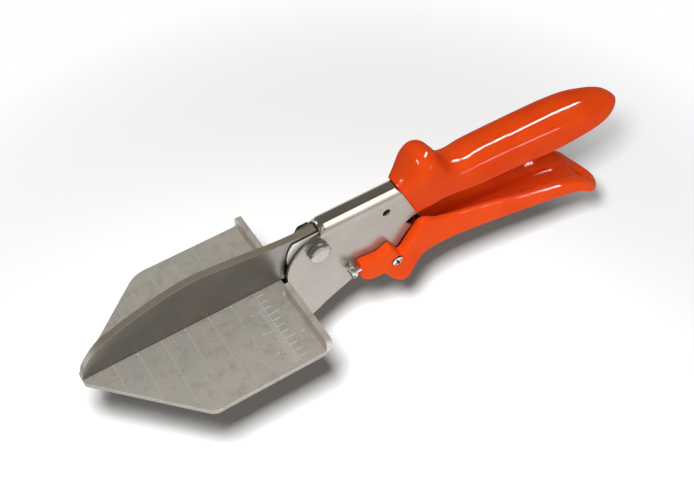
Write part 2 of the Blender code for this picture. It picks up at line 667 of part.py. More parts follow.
def make_blade():
    half = BLADE_THICKNESS / 2
    blade = prism("blade", blade_outline(), "Y", -half, half)
    cut(blade, edge_waste("near_grind", -1), edge_waste("far_grind", 1))
    through = FRAME_HALF
    drill(blade, "blade_pivot_hole", PIVOT, BUSH_RADIUS + GAP, -through, through)
    drill(blade, "tang_screw_hole", HANDLE_SCREW, HANDLE_SCREW_RADIUS + GAP, -through, through, SMALL_STEPS)
    drill(blade, "tang_rivet_hole", TANG_RIVET, TANG_RIVET_RADIUS + GAP, -through, through, SMALL_STEPS)
    return blade


# Lower handle

def lower_value(x, column):
    return blend(LOWER_GRIP_SHARES, (x - LOWER_START) / LOWER_LENGTH, column)


def lower_half(x):
    """Half width of the coat: the cheeks' faces in front, spreading and then rounding off behind."""
    spread = GRIP_FACE + (LOWER_HALF - GRIP_FACE) * lower_value(x, 3)
    return spread * blend(LOWER_TIP_SHARES, (x - LOWER_START) / LOWER_LENGTH, 1)


def lower_stations(start, end):
    spots = [LOWER_START + LOWER_LENGTH * row[0] for row in LOWER_GRIP_SHARES]
    return [start, *[x for x in spots if start + GAP < x < end - GAP], end]


def trough_ring(x, half, top, bottom, radius):
    """U outline, open side up but closed by a straight line, with rounded lower corners."""
    radius = min(radius, half - GAP, (top - bottom) / 2)
    left = arc((-half + radius, bottom + radius), radius, 180, 270, CORNER_STEPS)
    right = arc((half - radius, bottom + radius), radius, 270, 360, CORNER_STEPS)
    return [Vector((x, y, z)) for y, z in [(-half, top), *left, *right, (half, top)]]


def trough_outer(name, inset, edge, start, end):
    """Outside of the handle, drawn in by inset at the sides and by edge at the lip."""
    rings = []
    for x in lower_stations(start, end):
        half = lower_half(x) - inset
        top = -LOWER_DROP * lower_value(x, 1) - edge
        bottom = -LOWER_DROP * lower_value(x, 2) + inset
        radius = LOWER_ROUND * lower_value(x, 4) - inset / 2
        rings.append(trough_ring(x, half, top, bottom, max(GAP, radius)))
    return loft(name, rings)


def trough_hollow(name, inset, web_start, start, end):
    """Space inside the handle: through the bottom between the cheeks, then along the web."""
    mouth = CHEEK_CLEAR_DROP
    depth = LOWER_DROP + OVERRUN
    half = GRIP_FACE - inset
    rings = [trough_ring(x, half, mouth, -depth, GAP) for x in (start, web_start - GAP / 2)]
    for x in lower_stations(web_start + GAP / 2, end):
        half = lower_half(x) - inset
        bottom = -LOWER_DROP * lower_value(x, 2) + inset
        radius = max(GAP, LOWER_ROUND * lower_value(x, 4) - GAP)
        rings.append(trough_ring(x, max(half, SHEET), mouth, bottom, radius))
    return loft(name, rings)


def trough_shell(name, clearance):
    """The steel trough, grown by a clearance all round when it is a pocket in the coat."""
    start, end = LOWER_CORE_START - clearance, LOWER_CORE_END + clearance
    outer = trough_outer(name, LOWER_SKIN - clearance, LOWER_EDGE_SKIN - clearance, start, end)
    hollow = trough_hollow(f"{name}_hollow", LOWER_SKIN + SHEET + clearance, LOWER_WEB_START - clearance,
                           start - OVERRUN, end + OVERRUN)
    return cut(outer, hollow)


def make_lower_core():
    core = trough_shell("lower_handle_core", 0.0)
    reach = LOWER_HALF + OVERRUN
    drill(core, "core_screw_hole", HANDLE_SCREW, HANDLE_SCREW_RADIUS + GAP, -reach, reach, SMALL_STEPS)
    drill(core, "core_rivet_hole", TANG_RIVET, TANG_RIVET_RADIUS + GAP, -reach, reach, SMALL_STEPS)
    drill(core, "core_catch_hole", CATCH_PIN, CATCH_PIN_RADIUS + GAP, -reach, reach, SMALL_STEPS)
    return core


def make_lower_grip():
    """Orange coat: outside, inside, the steel's pocket, and the holes for screws and pins."""
    end = LOWER_START + LOWER_LENGTH
    grip = trough_outer("lower_grip", 0.0, 0.0, LOWER_START, end)
    cut(grip, trough_hollow("lower_grip_hollow", LOWER_WALL, LOWER_WEB_START - LOWER_EDGE_SKIN,
                            LOWER_START - OVERRUN, end + OVERRUN))
    cut(grip, trough_shell("lower_pocket", GAP))
    reach = LOWER_HALF + OVERRUN
    inside = GRIP_FACE - LOWER_SKIN
    seat = -GRIP_FACE + HANDLE_HEAD_RISE
    drill(grip, "grip_screw_hole", HANDLE_SCREW, HANDLE_SCREW_RADIUS + GAP, -reach, reach, SMALL_STEPS)
    drill(grip, "grip_head_seat", HANDLE_SCREW, HANDLE_HEAD_RADIUS + GAP, -reach, seat)
    drill(grip, "grip_rivet_hole", TANG_RIVET, TANG_RIVET_RADIUS + GAP, -inside, inside, SMALL_STEPS)
    drill(grip, "grip_catch_hole", CATCH_PIN, CATCH_PIN_RADIUS + GAP, -inside, inside, SMALL_STEPS)
    hole_end = LOWER_START + ADJUSTER_DEPTH + GAP
    tapped = rod("adjuster_hole", "X", (ADJUSTER_Y, -ADJUSTER_DROP), ADJUSTER_RADIUS + GAP,
                 LOWER_START - OVERRUN, hole_end, SMALL_STEPS)
    return cut(grip, tapped)


def make_handle_screw():
    """Cross-slotted screw through both cheeks and the tang."""
    seat = -GRIP_FACE + HANDLE_HEAD_RISE - GAP
    head = seat - HANDLE_HEAD_RISE
    tail = GRIP_FACE + GAP + HANDLE_NUT_THICKNESS + GAP
    spots = [(head, HANDLE_HEAD_RADIUS * 3 / 4), (head + HANDLE_HEAD_RISE / 2, HANDLE_HEAD_RADIUS),
             (seat, HANDLE_HEAD_RADIUS), (seat, HANDLE_SCREW_RADIUS), (tail, HANDLE_SCREW_RADIUS)]
    screw = loft("handle_screw", [[place("Y", *point, along)
                                   for point in circle(cross(HANDLE_SCREW), radius, SMALL_STEPS)]
                                  for along, radius in spots])
    x, z = cross(HANDLE_SCREW)
    half, reach = SLOT_WIDTH / 2, HANDLE_HEAD_RADIUS / 2
    arms = [(half, reach), (reach, half)]
    for number, (wide, tall) in enumerate(arms):
        outline = [(x - wide, z - tall), (x + wide, z - tall), (x + wide, z + tall), (x - wide, z + tall)]
        cut(screw, prism(f"screw_slot_{number}", outline, "Y", head - OVERRUN, head + SLOT_DEPTH))
    return screw


def make_handle_nut():
    low = GRIP_FACE + GAP
    outline = hexagon(cross(HANDLE_SCREW), HANDLE_NUT_ACROSS_FLATS, 12)
    return sleeve("handle_nut", cross(HANDLE_SCREW), outline, HANDLE_SCREW_RADIUS + GAP,
                  low, low + HANDLE_NUT_THICKNESS)


def make_tang_spacers():
    """Two equal sleeves on the handle screw, one on each side of the tang."""
    low, high = BLADE_THICKNESS / 2 + GAP, LOWER_CLEAR_HALF - GAP
    outline = circle(cross(HANDLE_SCREW), TANG_SPACER_RADIUS, SMALL_STEPS)
    return [sleeve(name, cross(HANDLE_SCREW), outline, HANDLE_SCREW_RADIUS + GAP, start, end)
            for name, start, end in (("near_tang_spacer", -high, -low), ("far_tang_spacer", low, high))]


def make_tang_rivet():
    reach = GRIP_FACE - LOWER_SKIN - GAP
    return rod("tang_rivet", "Y", cross(TANG_RIVET), TANG_RIVET_RADIUS, -reach, reach, SMALL_STEPS)


def make_adjuster():
    """Slotted cheese-head screw that stands out of the near cheek's front."""
    head_end = ADJUSTER_HEAD_X + ADJUSTER_HEAD_LENGTH
    tip = LOWER_START + ADJUSTER_DEPTH
    centre = (ADJUSTER_Y, -ADJUSTER_DROP)
    spots = [(ADJUSTER_HEAD_X, ADJUSTER_HEAD_RADIUS), (head_end, ADJUSTER_HEAD_RADIUS),
             (head_end, ADJUSTER_RADIUS), (tip, ADJUSTER_RADIUS)]
    rings = [[place("X", *point, along) for point in circle(centre, radius, SMALL_STEPS)]
             for along, radius in spots]
    screw = loft("adjusting_screw", rings)
    half, reach = SLOT_WIDTH / 2, ADJUSTER_HEAD_RADIUS + OVERRUN
    slot = [(ADJUSTER_Y - reach, -ADJUSTER_DROP - half), (ADJUSTER_Y + reach, -ADJUSTER_DROP - half),
            (ADJUSTER_Y + reach, -ADJUSTER_DROP + half), (ADJUSTER_Y - reach, -ADJUSTER_DROP + half)]
    floor = ADJUSTER_HEAD_X + SLOT_DEPTH
    return cut(screw, prism("adjuster_slot", slot, "X", ADJUSTER_HEAD_X - OVERRUN, floor))


# Upper handle

def upper_edge(x):
    return BACK_TOP * blend(UPPER_EDGE_SHARES, (x - UPPER_START) / UPPER_LENGTH, 1)


def grip_ring(share):
    """One ring of the coat; its legs lean back from the top down to the lower edge."""
    x = UPPER_START + UPPER_LENGTH * share
    lean = blend(UPPER_LEAN_SHARES, share, 1)
    half = UPPER_HALF * blend(UPPER_GRIP_SHARES, share, 1)
    top = grip_top(share)
    bottom = upper_edge(x)
    for repeat in range(12):
        bottom = upper_edge(x + lean * (BACK_TOP - bottom))
    bottom = min(bottom, top - half - GAP)
    return arch_ring(half, top, bottom, lambda z: x + lean * max(0.0, BACK_TOP - z))


def hollow_ring(x):
    """Inside of the coat, a lining's thickness within the folded sheet."""
    inset = SHEET + GAP + INNER_COAT
    return arch_ring(core_half(x) - inset, core_top(x) - inset, -OVERRUN, lambda z: x)


def make_upper_grip():
    grip = loft("upper_grip", [grip_ring(row[0]) for row in UPPER_GRIP_SHARES])
    end = CORE_END_X - SHEET
    spots = [UPPER_START - 2 * OVERRUN, *core_stations(end)[1:]]
    cut(grip, loft("upper_grip_hollow", [hollow_ring(x) for x in spots]))
    return cut(grip, make_upper_pocket())


def make_upper_pocket():
    """The folded sheet grown by the clearance, as a tool."""
    pocket = frame_solid("upper_pocket", -GAP, CORE_END_X + OVERRUN)
    front = UPPER_START - OVERRUN
    low = COAT_CORNER_Z - OVERRUN
    outline = [(front, BACK_TOP + OVERRUN), (front, low), (CATCH_NOTCH_X, low), *core_edge(GAP)]
    combine(pocket, prism("upper_pocket_side", outline, "Y", -UPPER_HALF, UPPER_HALF), "INTERSECT")
    return cut(pocket, frame_solid("upper_pocket_hollow", SHEET + GAP, CORE_END_X + 2 * OVERRUN))


# Spring

def make_spring_bush():
    half = INNER_HALF - GAP
    return sleeve("spring_bush", cross(SPRING_CENTRE), circle(cross(SPRING_CENTRE), SPRING_BUSH_RADIUS),
                  SPRING_HOLE_RADIUS, -half, half)


def tangent_angle(target, side):
    """Angle at which a straight leg to the target leaves the coil."""
    offset = Vector(target) - Vector(cross(SPRING_CENTRE))
    spread = math.acos(SPRING_COIL_RADIUS / offset.length)
    return math.atan2(offset.y, offset.x) + side * spread


def spring_targets():
    """Where the legs bear: under the frame's back, and on the tang's upper edge."""
    wire = SPRING_WIRE_RADIUS
    back = (SPRING_BACK_LEG_X, BACK_TOP - FRAME_HALF + wire)
    root, end = Vector(tang_point(TANG_ROOT, TANG_ROOT_HALF)), Vector(tang_point(TANG_LENGTH, TANG_END_HALF))
    slope = (end - root).normalized()
    lift = Vector((-slope.y, slope.x)) * (wire + GAP)
    foot = root + slope * (SPRING_TANG_LEG_X - root.x) / slope.x
    return back, tuple(foot + lift)


def spring_points():
    """Helix about Y from the leg under the frame's back to the leg on the tang."""
    back, tang = spring_targets()
    start, end = tangent_angle(back, -1), tangent_angle(tang, 1)
    sweep = (start - end) % math.tau + SPRING_TURNS * math.tau
    count = round(SPRING_POINTS * sweep / math.tau)
    rise = SPRING_PITCH * sweep / math.tau
    points = [Vector((back[0], -rise / 2, back[1]))]
    for index in range(count + 1):
        turn = start - sweep * index / count
        points.append(Vector((SPRING_X + SPRING_COIL_RADIUS * math.cos(turn), rise * (index / count - 1 / 2),
                              SPRING_Z + SPRING_COIL_RADIUS * math.sin(turn))))
    points.append(Vector((tang[0], rise / 2, tang[1])))
    return points


def least_gap(points):
    """Least distance between wires one curl apart, measured between segments' samples."""
    samples = [a.lerp(b, step / 4) for a, b in zip(points[1:-1], points[2:-1]) for step in range(4)]
    apart = round(len(samples) * 2 / 3 / (SPRING_TURNS + 1 / 2))
    return min((a - b).length for index, a in enumerate(samples) for b in samples[index + apart:]) \
        - 2 * SPRING_WIRE_RADIUS


def make_spring():
    """Torsion spring as one unbroken tube with straight legs."""
    points = spring_points()
    print("return spring, least gap between curls in mm:", round(least_gap(points) * 1000, 3))
    curve = bpy.data.curves.new("return_spring", "CURVE")
    curve.dimensions = "3D"
    curve.bevel_depth = SPRING_WIRE_RADIUS
    curve.bevel_resolution = 1
    curve.use_fill_caps = True
    spline = curve.splines.new("POLY")
    spline.points.add(len(points) - 1)
    for target, point in zip(spline.points, points):
        target.co = (*point, 1)
    item = bpy.data.objects.new("return_spring", curve)
    bpy.context.scene.collection.objects.link(item)
    return item


# Catch

def make_catch():
    """Hub, arm and crossbar of the catch, joined into one piece."""
    half = LOWER_CLEAR_HALF - GAP
    hub = rod("catch_lever", "Y", cross(CATCH_PIN), CATCH_HUB_RADIUS, -half, half)
    bar_centre = Vector((CATCH_BAR_X, CATCH_BAR_Z))
    root = Vector(cross(CATCH_PIN))
    along = (bar_centre - root).normalized()
    side = Vector((-along.y, along.x)) * CATCH_BAR_RADIUS * 3 / 4
    arm = [tuple(root - side), tuple(bar_centre - side), tuple(bar_centre + side), tuple(root + side)]
    combine(hub, prism("catch_arm", arm, "Y", -CATCH_ARM_HALF, CATCH_ARM_HALF), "UNION")
    bar = rod("catch_bar", "Y", tuple(bar_centre), CATCH_BAR_RADIUS, -half, half, SMALL_STEPS)
    combine(hub, bar, "UNION")
    return drill(hub, "catch_bore", CATCH_PIN, CATCH_PIN_RADIUS + GAP, -half - OVERRUN, half + OVERRUN)


def make_catch_pin():
    reach = GRIP_FACE - LOWER_SKIN - GAP
    return rod("catch_pin", "Y", cross(CATCH_PIN), CATCH_PIN_RADIUS, -reach, reach, SMALL_STEPS)


def make_empty(name, location, parent=None):
    item = bpy.data.objects.new(name, None)
    bpy.context.scene.collection.objects.link(item)
    item.location = location
    item.parent = parent
    return item


def stand_on_floor(base):
    """Move everything so that the footprint's centre is at zero and the lowest point at height zero."""
    bpy.context.view_layer.update()
    depsgraph = bpy.context.evaluated_depsgraph_get()
    points = []
    for item in bpy.context.scene.objects:
        if item.type in {"MESH", "CURVE"} and not item.hide_render:
            evaluated = item.evaluated_get(depsgraph)
            mesh = evaluated.to_mesh()
            points.extend(evaluated.matrix_world @ vertex.co for vertex in mesh.vertices)
            evaluated.to_mesh_clear()
    low = Vector([min(point[axis] for point in points) for axis in range(3)])
    high = Vector([max(point[axis] for point in points) for axis in range(3)])
    middle = (low + high) / 2
    base.location = (-middle.x, -middle.y, -low.z)
    print("moved by", [round(value, 6) for value in base.location], "size", [round(v, 6) for v in high - low])


def main():
    clear_scene()
    plated = make_material("plated_steel", (0.62, 0.59, 0.55), 0.22, 1.0)
    table_steel = make_material("table_steel", (0.50, 0.48, 0.46), 0.42, 1.0)
    blade_steel = make_material("blade_steel", (0.16, 0.155, 0.15), 0.38, 1.0)
    zinc = make_material("zinc_fittings", (0.68, 0.67, 0.64), 0.28, 1.0)
    dark_steel = make_material("dark_steel", (0.05, 0.05, 0.055), 0.45, 1.0)
    bronze = make_material("bronze", (0.50, 0.36, 0.17), 0.40, 1.0)
    insert = make_material("anvil_insert", (0.12, 0.12, 0.12), 0.60, 0.0)
    orange = make_material("orange_coat", (0.80, 0.09, 0.012), 0.16, 0.0)

    base = make_empty("shears_base", (0, 0, 0))
    lever = make_empty("lever_axis", PIVOT, base)
    catch = make_empty("catch_axis", CATCH_PIN - PIVOT, lever)

    fixed = [
        (make_frame(), plated), (make_table(), table_steel),
        (make_strip(), insert), (make_bar(), dark_steel),
        (make_bracket("near_table_bracket", -1), dark_steel),
        (make_bracket("far_table_bracket", 1), dark_steel),
        *((rivet, zinc) for rivet in make_rivets()),
        (make_jaw_spacer(), zinc), (make_bolt(), zinc), (make_washer(), zinc),
        (make_nut(), zinc), (make_bush(), bronze), (make_wear_plate("near_wear_plate", -1), zinc),
        (make_wear_plate("far_wear_plate", 1), zinc), (make_spring_bush(), zinc), (make_spring(), dark_steel),
        (make_upper_grip(), orange),
    ]
    for item, material in fixed:
        if item.type == "CURVE":
            item.data.materials.append(material)
            item.parent = base
        else:
            finish(item, material, base)
    swinging = [
        (make_blade(), blade_steel), (make_lower_core(), plated), (make_lower_grip(), orange),
        (make_handle_screw(), zinc), (make_handle_nut(), zinc),
        *((spacer, zinc) for spacer in make_tang_spacers()),
        (make_tang_rivet(), dark_steel), (make_adjuster(), zinc), (make_catch_pin(), zinc),
    ]
    for item, material in swinging:
        finish(item, material, lever, PIVOT)
    finish(make_catch(), dark_steel, catch, CATCH_PIN)
    stand_on_floor(base)


main()
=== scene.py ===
# Profile shears: fine surfaces, finishes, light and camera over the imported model.
# Shapes are drawn in millimetres: X from the table's tip to the rear, Y from the near side to the
# far side, Z up from the table's top. They are then set into the model's metres.
import json
import math

import bmesh
import bpy
import numpy as np
from mathutils import Matrix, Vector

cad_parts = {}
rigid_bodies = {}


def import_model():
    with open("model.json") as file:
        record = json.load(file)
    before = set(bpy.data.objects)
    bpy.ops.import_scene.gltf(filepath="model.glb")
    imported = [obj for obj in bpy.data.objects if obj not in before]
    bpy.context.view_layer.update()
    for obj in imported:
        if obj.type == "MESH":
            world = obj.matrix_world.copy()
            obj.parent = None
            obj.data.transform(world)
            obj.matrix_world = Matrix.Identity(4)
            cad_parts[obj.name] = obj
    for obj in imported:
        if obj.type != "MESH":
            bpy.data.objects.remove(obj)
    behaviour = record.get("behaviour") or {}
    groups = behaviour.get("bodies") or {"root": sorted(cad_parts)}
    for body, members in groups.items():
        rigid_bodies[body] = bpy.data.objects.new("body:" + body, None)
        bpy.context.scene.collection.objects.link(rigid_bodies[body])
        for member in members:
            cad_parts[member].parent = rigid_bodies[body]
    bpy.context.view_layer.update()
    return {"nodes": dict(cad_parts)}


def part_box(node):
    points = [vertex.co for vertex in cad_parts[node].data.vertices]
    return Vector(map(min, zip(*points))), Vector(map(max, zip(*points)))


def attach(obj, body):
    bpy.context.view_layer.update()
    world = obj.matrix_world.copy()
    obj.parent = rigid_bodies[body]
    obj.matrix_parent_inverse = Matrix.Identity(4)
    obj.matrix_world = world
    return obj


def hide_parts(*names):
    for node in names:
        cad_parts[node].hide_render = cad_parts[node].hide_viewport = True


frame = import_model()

# Sizes and places that several pieces share, in millimetres; spare is how far a cut runs past its work
nearHalf, plateThick, backTop, spare = 38.7, 2.3, 24.8, 6
pivotPlace, screwPlace = (100.3, 12.3), (136.5, -16.0)

# the drawings' zero lies one near half and one thickness away from the table's low corner
zero = np.array(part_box("anvil_table")[0]) + (0, nearHalf / 1000, plateThick / 1000)
print("model loaded:", len(frame["nodes"]), "nodes")


# Numbers and outlines

join = np.concatenate


def inMetres(points):
    return np.asarray(points, float).reshape(-1, 3) * 0.001 + zero


def spline(xs, ys):
    # cubic through the points, with each slope a weighted mean of the two beside it
    step = np.diff(xs)
    slope = np.diff(ys) / step
    inner = (slope[:-1] * step[1:] + slope[1:] * step[:-1]) / (step[1:] + step[:-1])
    tangent = join([slope[:1], inner, slope[-1:]])

    def at(x):
        x = np.clip(x, xs[0], xs[-1])
        k = np.clip(np.searchsorted(xs, x, side="right") - 1, 0, len(step) - 1)
        t, h = (x - xs[k]) / step[k], step[k]
        return ((1 + 2 * t) * (1 - t) ** 2 * ys[k] + t * (1 - t) ** 2 * h * tangent[k]
                + t * t * (3 - 2 * t) * ys[k + 1] + t * t * (t - 1) * h * tangent[k + 1])
    return at


def curve(points, count):
    # smooth curve through points, evenly spread over its chord length
    points = np.asarray(points, float)
    length = join([[0], np.cumsum(np.linalg.norm(np.diff(points, axis=0), axis=1))])
    at = np.linspace(0, length[-1], count)
    return abreast(*(spline(length, column)(at) for column in points.T))


def turn(centre, radius, start, end, count):
    # arc: centre plus radius times cosine and sine of the angle, in degrees
    angle = np.radians(np.linspace(start, end, count))
    return abreast(centre[0] + radius * np.cos(angle), centre[1] + radius * np.sin(angle))


def roundCorner(before, corner, after, radius, count):
    # arc that touches both sides of a corner
    before, corner, after = (np.asarray(point, float) for point in (before, corner, after))
    first, second = ((side - corner) / np.linalg.norm(side - corner) for side in (before, after))
    half = math.acos(np.clip(first @ second, -1, 1)) / 2
    middle = first + second
    centre = corner + middle / np.linalg.norm(middle) * radius / math.sin(half)
    start, end = (corner + side * radius / math.tan(half) - centre for side in (first, second))
    share = np.linspace(0, 1, count)[:, None]
    spokes = start * (1 - share) + end * share
    return centre + spokes / np.linalg.norm(spokes, axis=1)[:, None] * radius


def box(low, high):
    # corners of a rectangle, from its low and high corner
    return [(low[0], low[1]), (high[0], low[1]), (high[0], high[1]), (low[0], high[1])]


def abreast(*columns):
    # columns side by side; a single value stands in every row
    return np.stack(np.broadcast_arrays(*columns), -1)


# Meshes

def quads(rows, columns):
    # faces of a grid whose rows close on themselves
    row, column = np.meshgrid(np.arange(rows - 1), np.arange(columns), indexing="ij")
    after, this, following = (column + 1) % columns, row * columns, (row + 1) * columns
    return abreast(this + column, this + after, following + after, following + column).reshape(-1, 4)


def stand(name, data):
    made = bpy.data.objects.new(name, data)
    bpy.context.scene.collection.objects.link(made)
    return made


def shape(name, points, faces):
    mesh = bpy.data.meshes.new(name)
    mesh.from_pydata(points, [], faces)
    return stand(name, mesh)


def rework(mesh, near, task):
    # join points within near of each other, in metres, then do the task
    work = bmesh.new()
    work.from_mesh(mesh)
    bmesh.ops.remove_doubles(work, verts=work.verts, dist=near)
    task(work)
    work.to_mesh(mesh)
    work.free()


def solid(name, rings):
    # skin over closed rings, rings by points by three, with capped ends and faces turned outward
    rows, columns = rings.shape[:2]
    faces = quads(rows, columns).tolist()
    faces += [list(range(columns)), list(range((rows - 1) * columns, rows * columns))]
    piece = shape(name, inMetres(rings).tolist(), faces)
    rework(piece.data, 1e-7, lambda work: bmesh.ops.recalc_face_normals(work, faces=work.faces))
    return piece


def slab(name, outline, axis, low, high):
    # outline of two coordinates, carried along the third axis from low to high
    others = np.delete(range(3), axis)
    rings = np.zeros((2, len(outline), 3))
    rings[:, :, others] = outline
    rings[:, :, axis] = [[low], [high]]
    return solid(name, rings)


def turned(name, profile, axis, centre, count=48):
    # profile of (distance along the axis, radius), carried round the axis
    profile = np.asarray(profile, float)
    angle = np.linspace(0, 2 * np.pi, count, endpoint=False)
    others = np.delete(range(3), axis)
    rings = np.zeros((len(profile), count, 3))
    rings[:, :, axis] = profile[:, :1]
    rings[:, :, others[0]] = centre[0] + profile[:, 1:] * np.cos(angle)
    rings[:, :, others[1]] = centre[1] + profile[:, 1:] * np.sin(angle)
    return solid(name, rings)


def drills(holes):
    # tools for round holes, from the radius and place of each
    return [turned("hole", [(-2 * spare, radius), (2 * spare, radius)], 1, spot, 40) for radius, spot in holes]


def fromNode(name, node):
    # a copy of a CAD node's mesh, with its flat faces made whole
    mesh = frame["nodes"][node].data.copy()
    rework(mesh, 1e-6, lambda work: bmesh.ops.dissolve_limit(
        work, angle_limit=math.radians(1), verts=work.verts, edges=work.edges))
    return stand(name, mesh)


def baked(piece):
    # mesh of a piece with its modifiers worked in
    bpy.context.view_layer.update()
    return bpy.data.meshes.new_from_object(piece.evaluated_get(bpy.context.evaluated_depsgraph_get()))


def settle(piece, tools=()):
    # make the modifiers' result the piece's own mesh
    mesh = baked(piece)
    piece.modifiers.clear()
    piece.data = mesh
    for tool in tools:
        bpy.data.objects.remove(tool, do_unlink=True)
    return piece


def modify(piece, kind, **values):
    step = piece.modifiers.new(kind, kind)
    for key, value in values.items():
        setattr(step, key, value)


def carve(piece, operation, *tools):
    for tool in tools:
        modify(piece, "BOOLEAN", operation=operation, solver="EXACT", object=tool)
    settle(piece, tools)


def soften(piece, width, angle=30):
    # small round along the edges, with the flat faces kept flat
    modify(piece, "BEVEL", width=width * 0.001, segments=2, limit_method="ANGLE",
           angle_limit=math.radians(angle), miter_outer="MITER_ARC")
    settle(piece)
    piece.data.shade_smooth()
    piece.data.set_sharp_from_angle(angle=math.radians(60))
    modify(piece, "WEIGHTED_NORMAL", keep_sharp=True, weight=80)
    return settle(piece)


def melt(piece, voxel, passes):
    # one skin over everything in the piece, smoothed as a dipped coat is
    modify(piece, "REMESH", mode="VOXEL", voxel_size=voxel * 0.001)
    modify(piece, "SMOOTH", factor=0.5, iterations=passes)
    settle(piece)
    piece.data.shade_smooth()


def wear(piece, body, paint, slot, *nodes, smooth=None):
    # finish of a piece, the body that it rides on and the nodes that it stands for
    piece.data.materials.clear()
    piece.data.materials.append(paint)
    if smooth:
        piece.data.shade_smooth()
        piece.data.set_sharp_from_angle(angle=math.radians(smooth))
    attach(piece, body)
    if nodes:
        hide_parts(*nodes)


# Shader trees

def maths(operation, order=1):
    # an operator that adds a Math node, with its sides swapped at -1
    def work(self, *other):
        values = (self, *other)[::order]
        return self.paint.node("Math", dict(enumerate(values)), operation=operation)
    return work


class Wire:
    # a socket that can be added to, multiplied and compared
    def __init__(self, paint, socket):
        self.paint, self.socket = paint, socket

    __add__, __radd__ = maths("ADD"), maths("ADD", -1)
    __sub__, __rsub__ = maths("SUBTRACT"), maths("SUBTRACT", -1)
    __mul__, __rmul__ = maths("MULTIPLY"), maths("MULTIPLY", -1)
    __gt__, __lt__ = maths("GREATER_THAN"), maths("LESS_THAN")
    __abs__ = maths("ABSOLUTE")


class Paint:
    # a material whose tree is written as calls and sums
    def __init__(self, name, **fixed):
        self.material = bpy.data.materials.new(name)
        self.material.use_nodes = True
        self.tree = self.material.node_tree
        self.tree.nodes.clear()
        self.shader = self.tree.nodes.new("ShaderNodeBsdfPrincipled")
        self.surface = self.tree.nodes.new("ShaderNodeOutputMaterial").inputs["Surface"]
        self.tree.links.new(self.shader.outputs[0], self.surface)
        for key, value in fixed.items():
            self.set(key, value)
        self.place = self.node("TexCoord", take="Object")

    def find(self, sockets, key):
        if isinstance(key, int):
            return sockets[key]
        return next(socket for socket in sockets if key in (socket.identifier, socket.name))

    def feed(self, socket, value):
        if isinstance(value, Wire):
            self.tree.links.new(value.socket, socket)
        elif socket.type == "RGBA":
            socket.default_value = (*value, 1)
        else:
            socket.default_value = value

    def node(self, kind, sockets=None, take=0, **settings):
        made = self.tree.nodes.new("ShaderNode" + kind)
        for key, value in settings.items():
            if key == "stops":
                for stop, position in zip(made.color_ramp.elements, value):
                    stop.position = position
            else:
                setattr(made, key, value)
        for key, value in (sockets or {}).items():
            self.feed(self.find(made.inputs, key), value)
        return Wire(self, self.find(made.outputs, take))

    def set(self, key, value):
        self.feed(self.shader.inputs[key.replace("_", " ")], value)

    def noise(self, size, detail=3.0, rough=0.5, stretch=(1, 1, 1)):
        # size is in millimetres; stretch draws the pattern out
        place = self.place
        if stretch != (1, 1, 1):
            shrink = tuple(1 / value for value in stretch)
            place = self.node("Mapping", {"Vector": place, "Scale": shrink}, "Vector")
        sockets = {"Vector": place, "Scale": 1000 / size, "Detail": detail, "Roughness": rough}
        return self.node("TexNoise", sockets, "Fac")

    def ramp(self, value, low, high):
        # from 0 to 1 while the value goes from low to high
        return self.node("ValToRGB", {"Fac": value}, "Color", stops=(low, high))

    def blend(self, share, first, second):
        sockets = {"Factor_Float": share, "A_Color": first, "B_Color": second}
        return self.node("Mix", sockets, "Result_Color", data_type="RGBA")

    def along(self, axis):
        # distance from the drawings' zero along an axis, in metres
        spot = self.node("SeparateXYZ", {"Vector": self.place}, axis)
        return spot - float(zero["XYZ".index(axis)])

    def done(self, colour, roughness, height, depth, strength=1.0):
        # the finished material; depth is the relief's, in millimetres
        self.set("Base Color", colour)
        self.set("Roughness", roughness)
        sockets = {"Height": height, "Distance": depth * 0.001, "Strength": strength}
        self.set("Normal", self.node("Bump", sockets, "Normal"))
        return self.material


def tone(colour):
    # colour as seen on a screen, 0 to 255, to the light that it stands for
    shares = np.array(colour) / 255
    return tuple(np.where(shares <= 0.04045, shares / 12.92, ((shares + 0.055) / 1.055) ** 2.4).tolist())


def uneven(lines, cloud, roughness):
    # roughness that varies with the drawn lines and the clouds
    return lines * 0.16 + cloud * 0.1 + (roughness - 0.13)


# colours are as seen on a screen, and grain, wave and cloud sizes and depths in millimetres
coat = {"orange": (231, 77, 21), "deep": (224, 65, 17), "cloudSize": 22, "roughness": 0.4, "smear": 0.08,
        "waveSize": 13, "waveDepth": 1.0, "grain": 0.012, "gloss": 0.09, "glossRoughness": 0.04}


def makeCoat():
    # dipped plastic, uneven in thickness; only the gloss over it reflects
    paint = Paint("orangeCoat", Coat_Weight=coat["gloss"], Coat_Roughness=coat["glossRoughness"],
                  Specular_IOR_Level=0.0)
    thin = paint.ramp(paint.noise(coat["cloudSize"], 2), 0.35, 0.7)
    smear, fine = paint.noise(6, 4, 0.6), paint.noise(1.1, 2, 0.5)
    wave = paint.noise(coat["waveSize"], 1.5, 0.4, (2.2, 1, 1))
    return paint.done(paint.blend(thin, tone(coat["orange"]), tone(coat["deep"])),
                      smear * coat["smear"] + (coat["roughness"] - coat["smear"] / 2),
                      wave + fine * coat["grain"], coat["waveDepth"], 0.5)


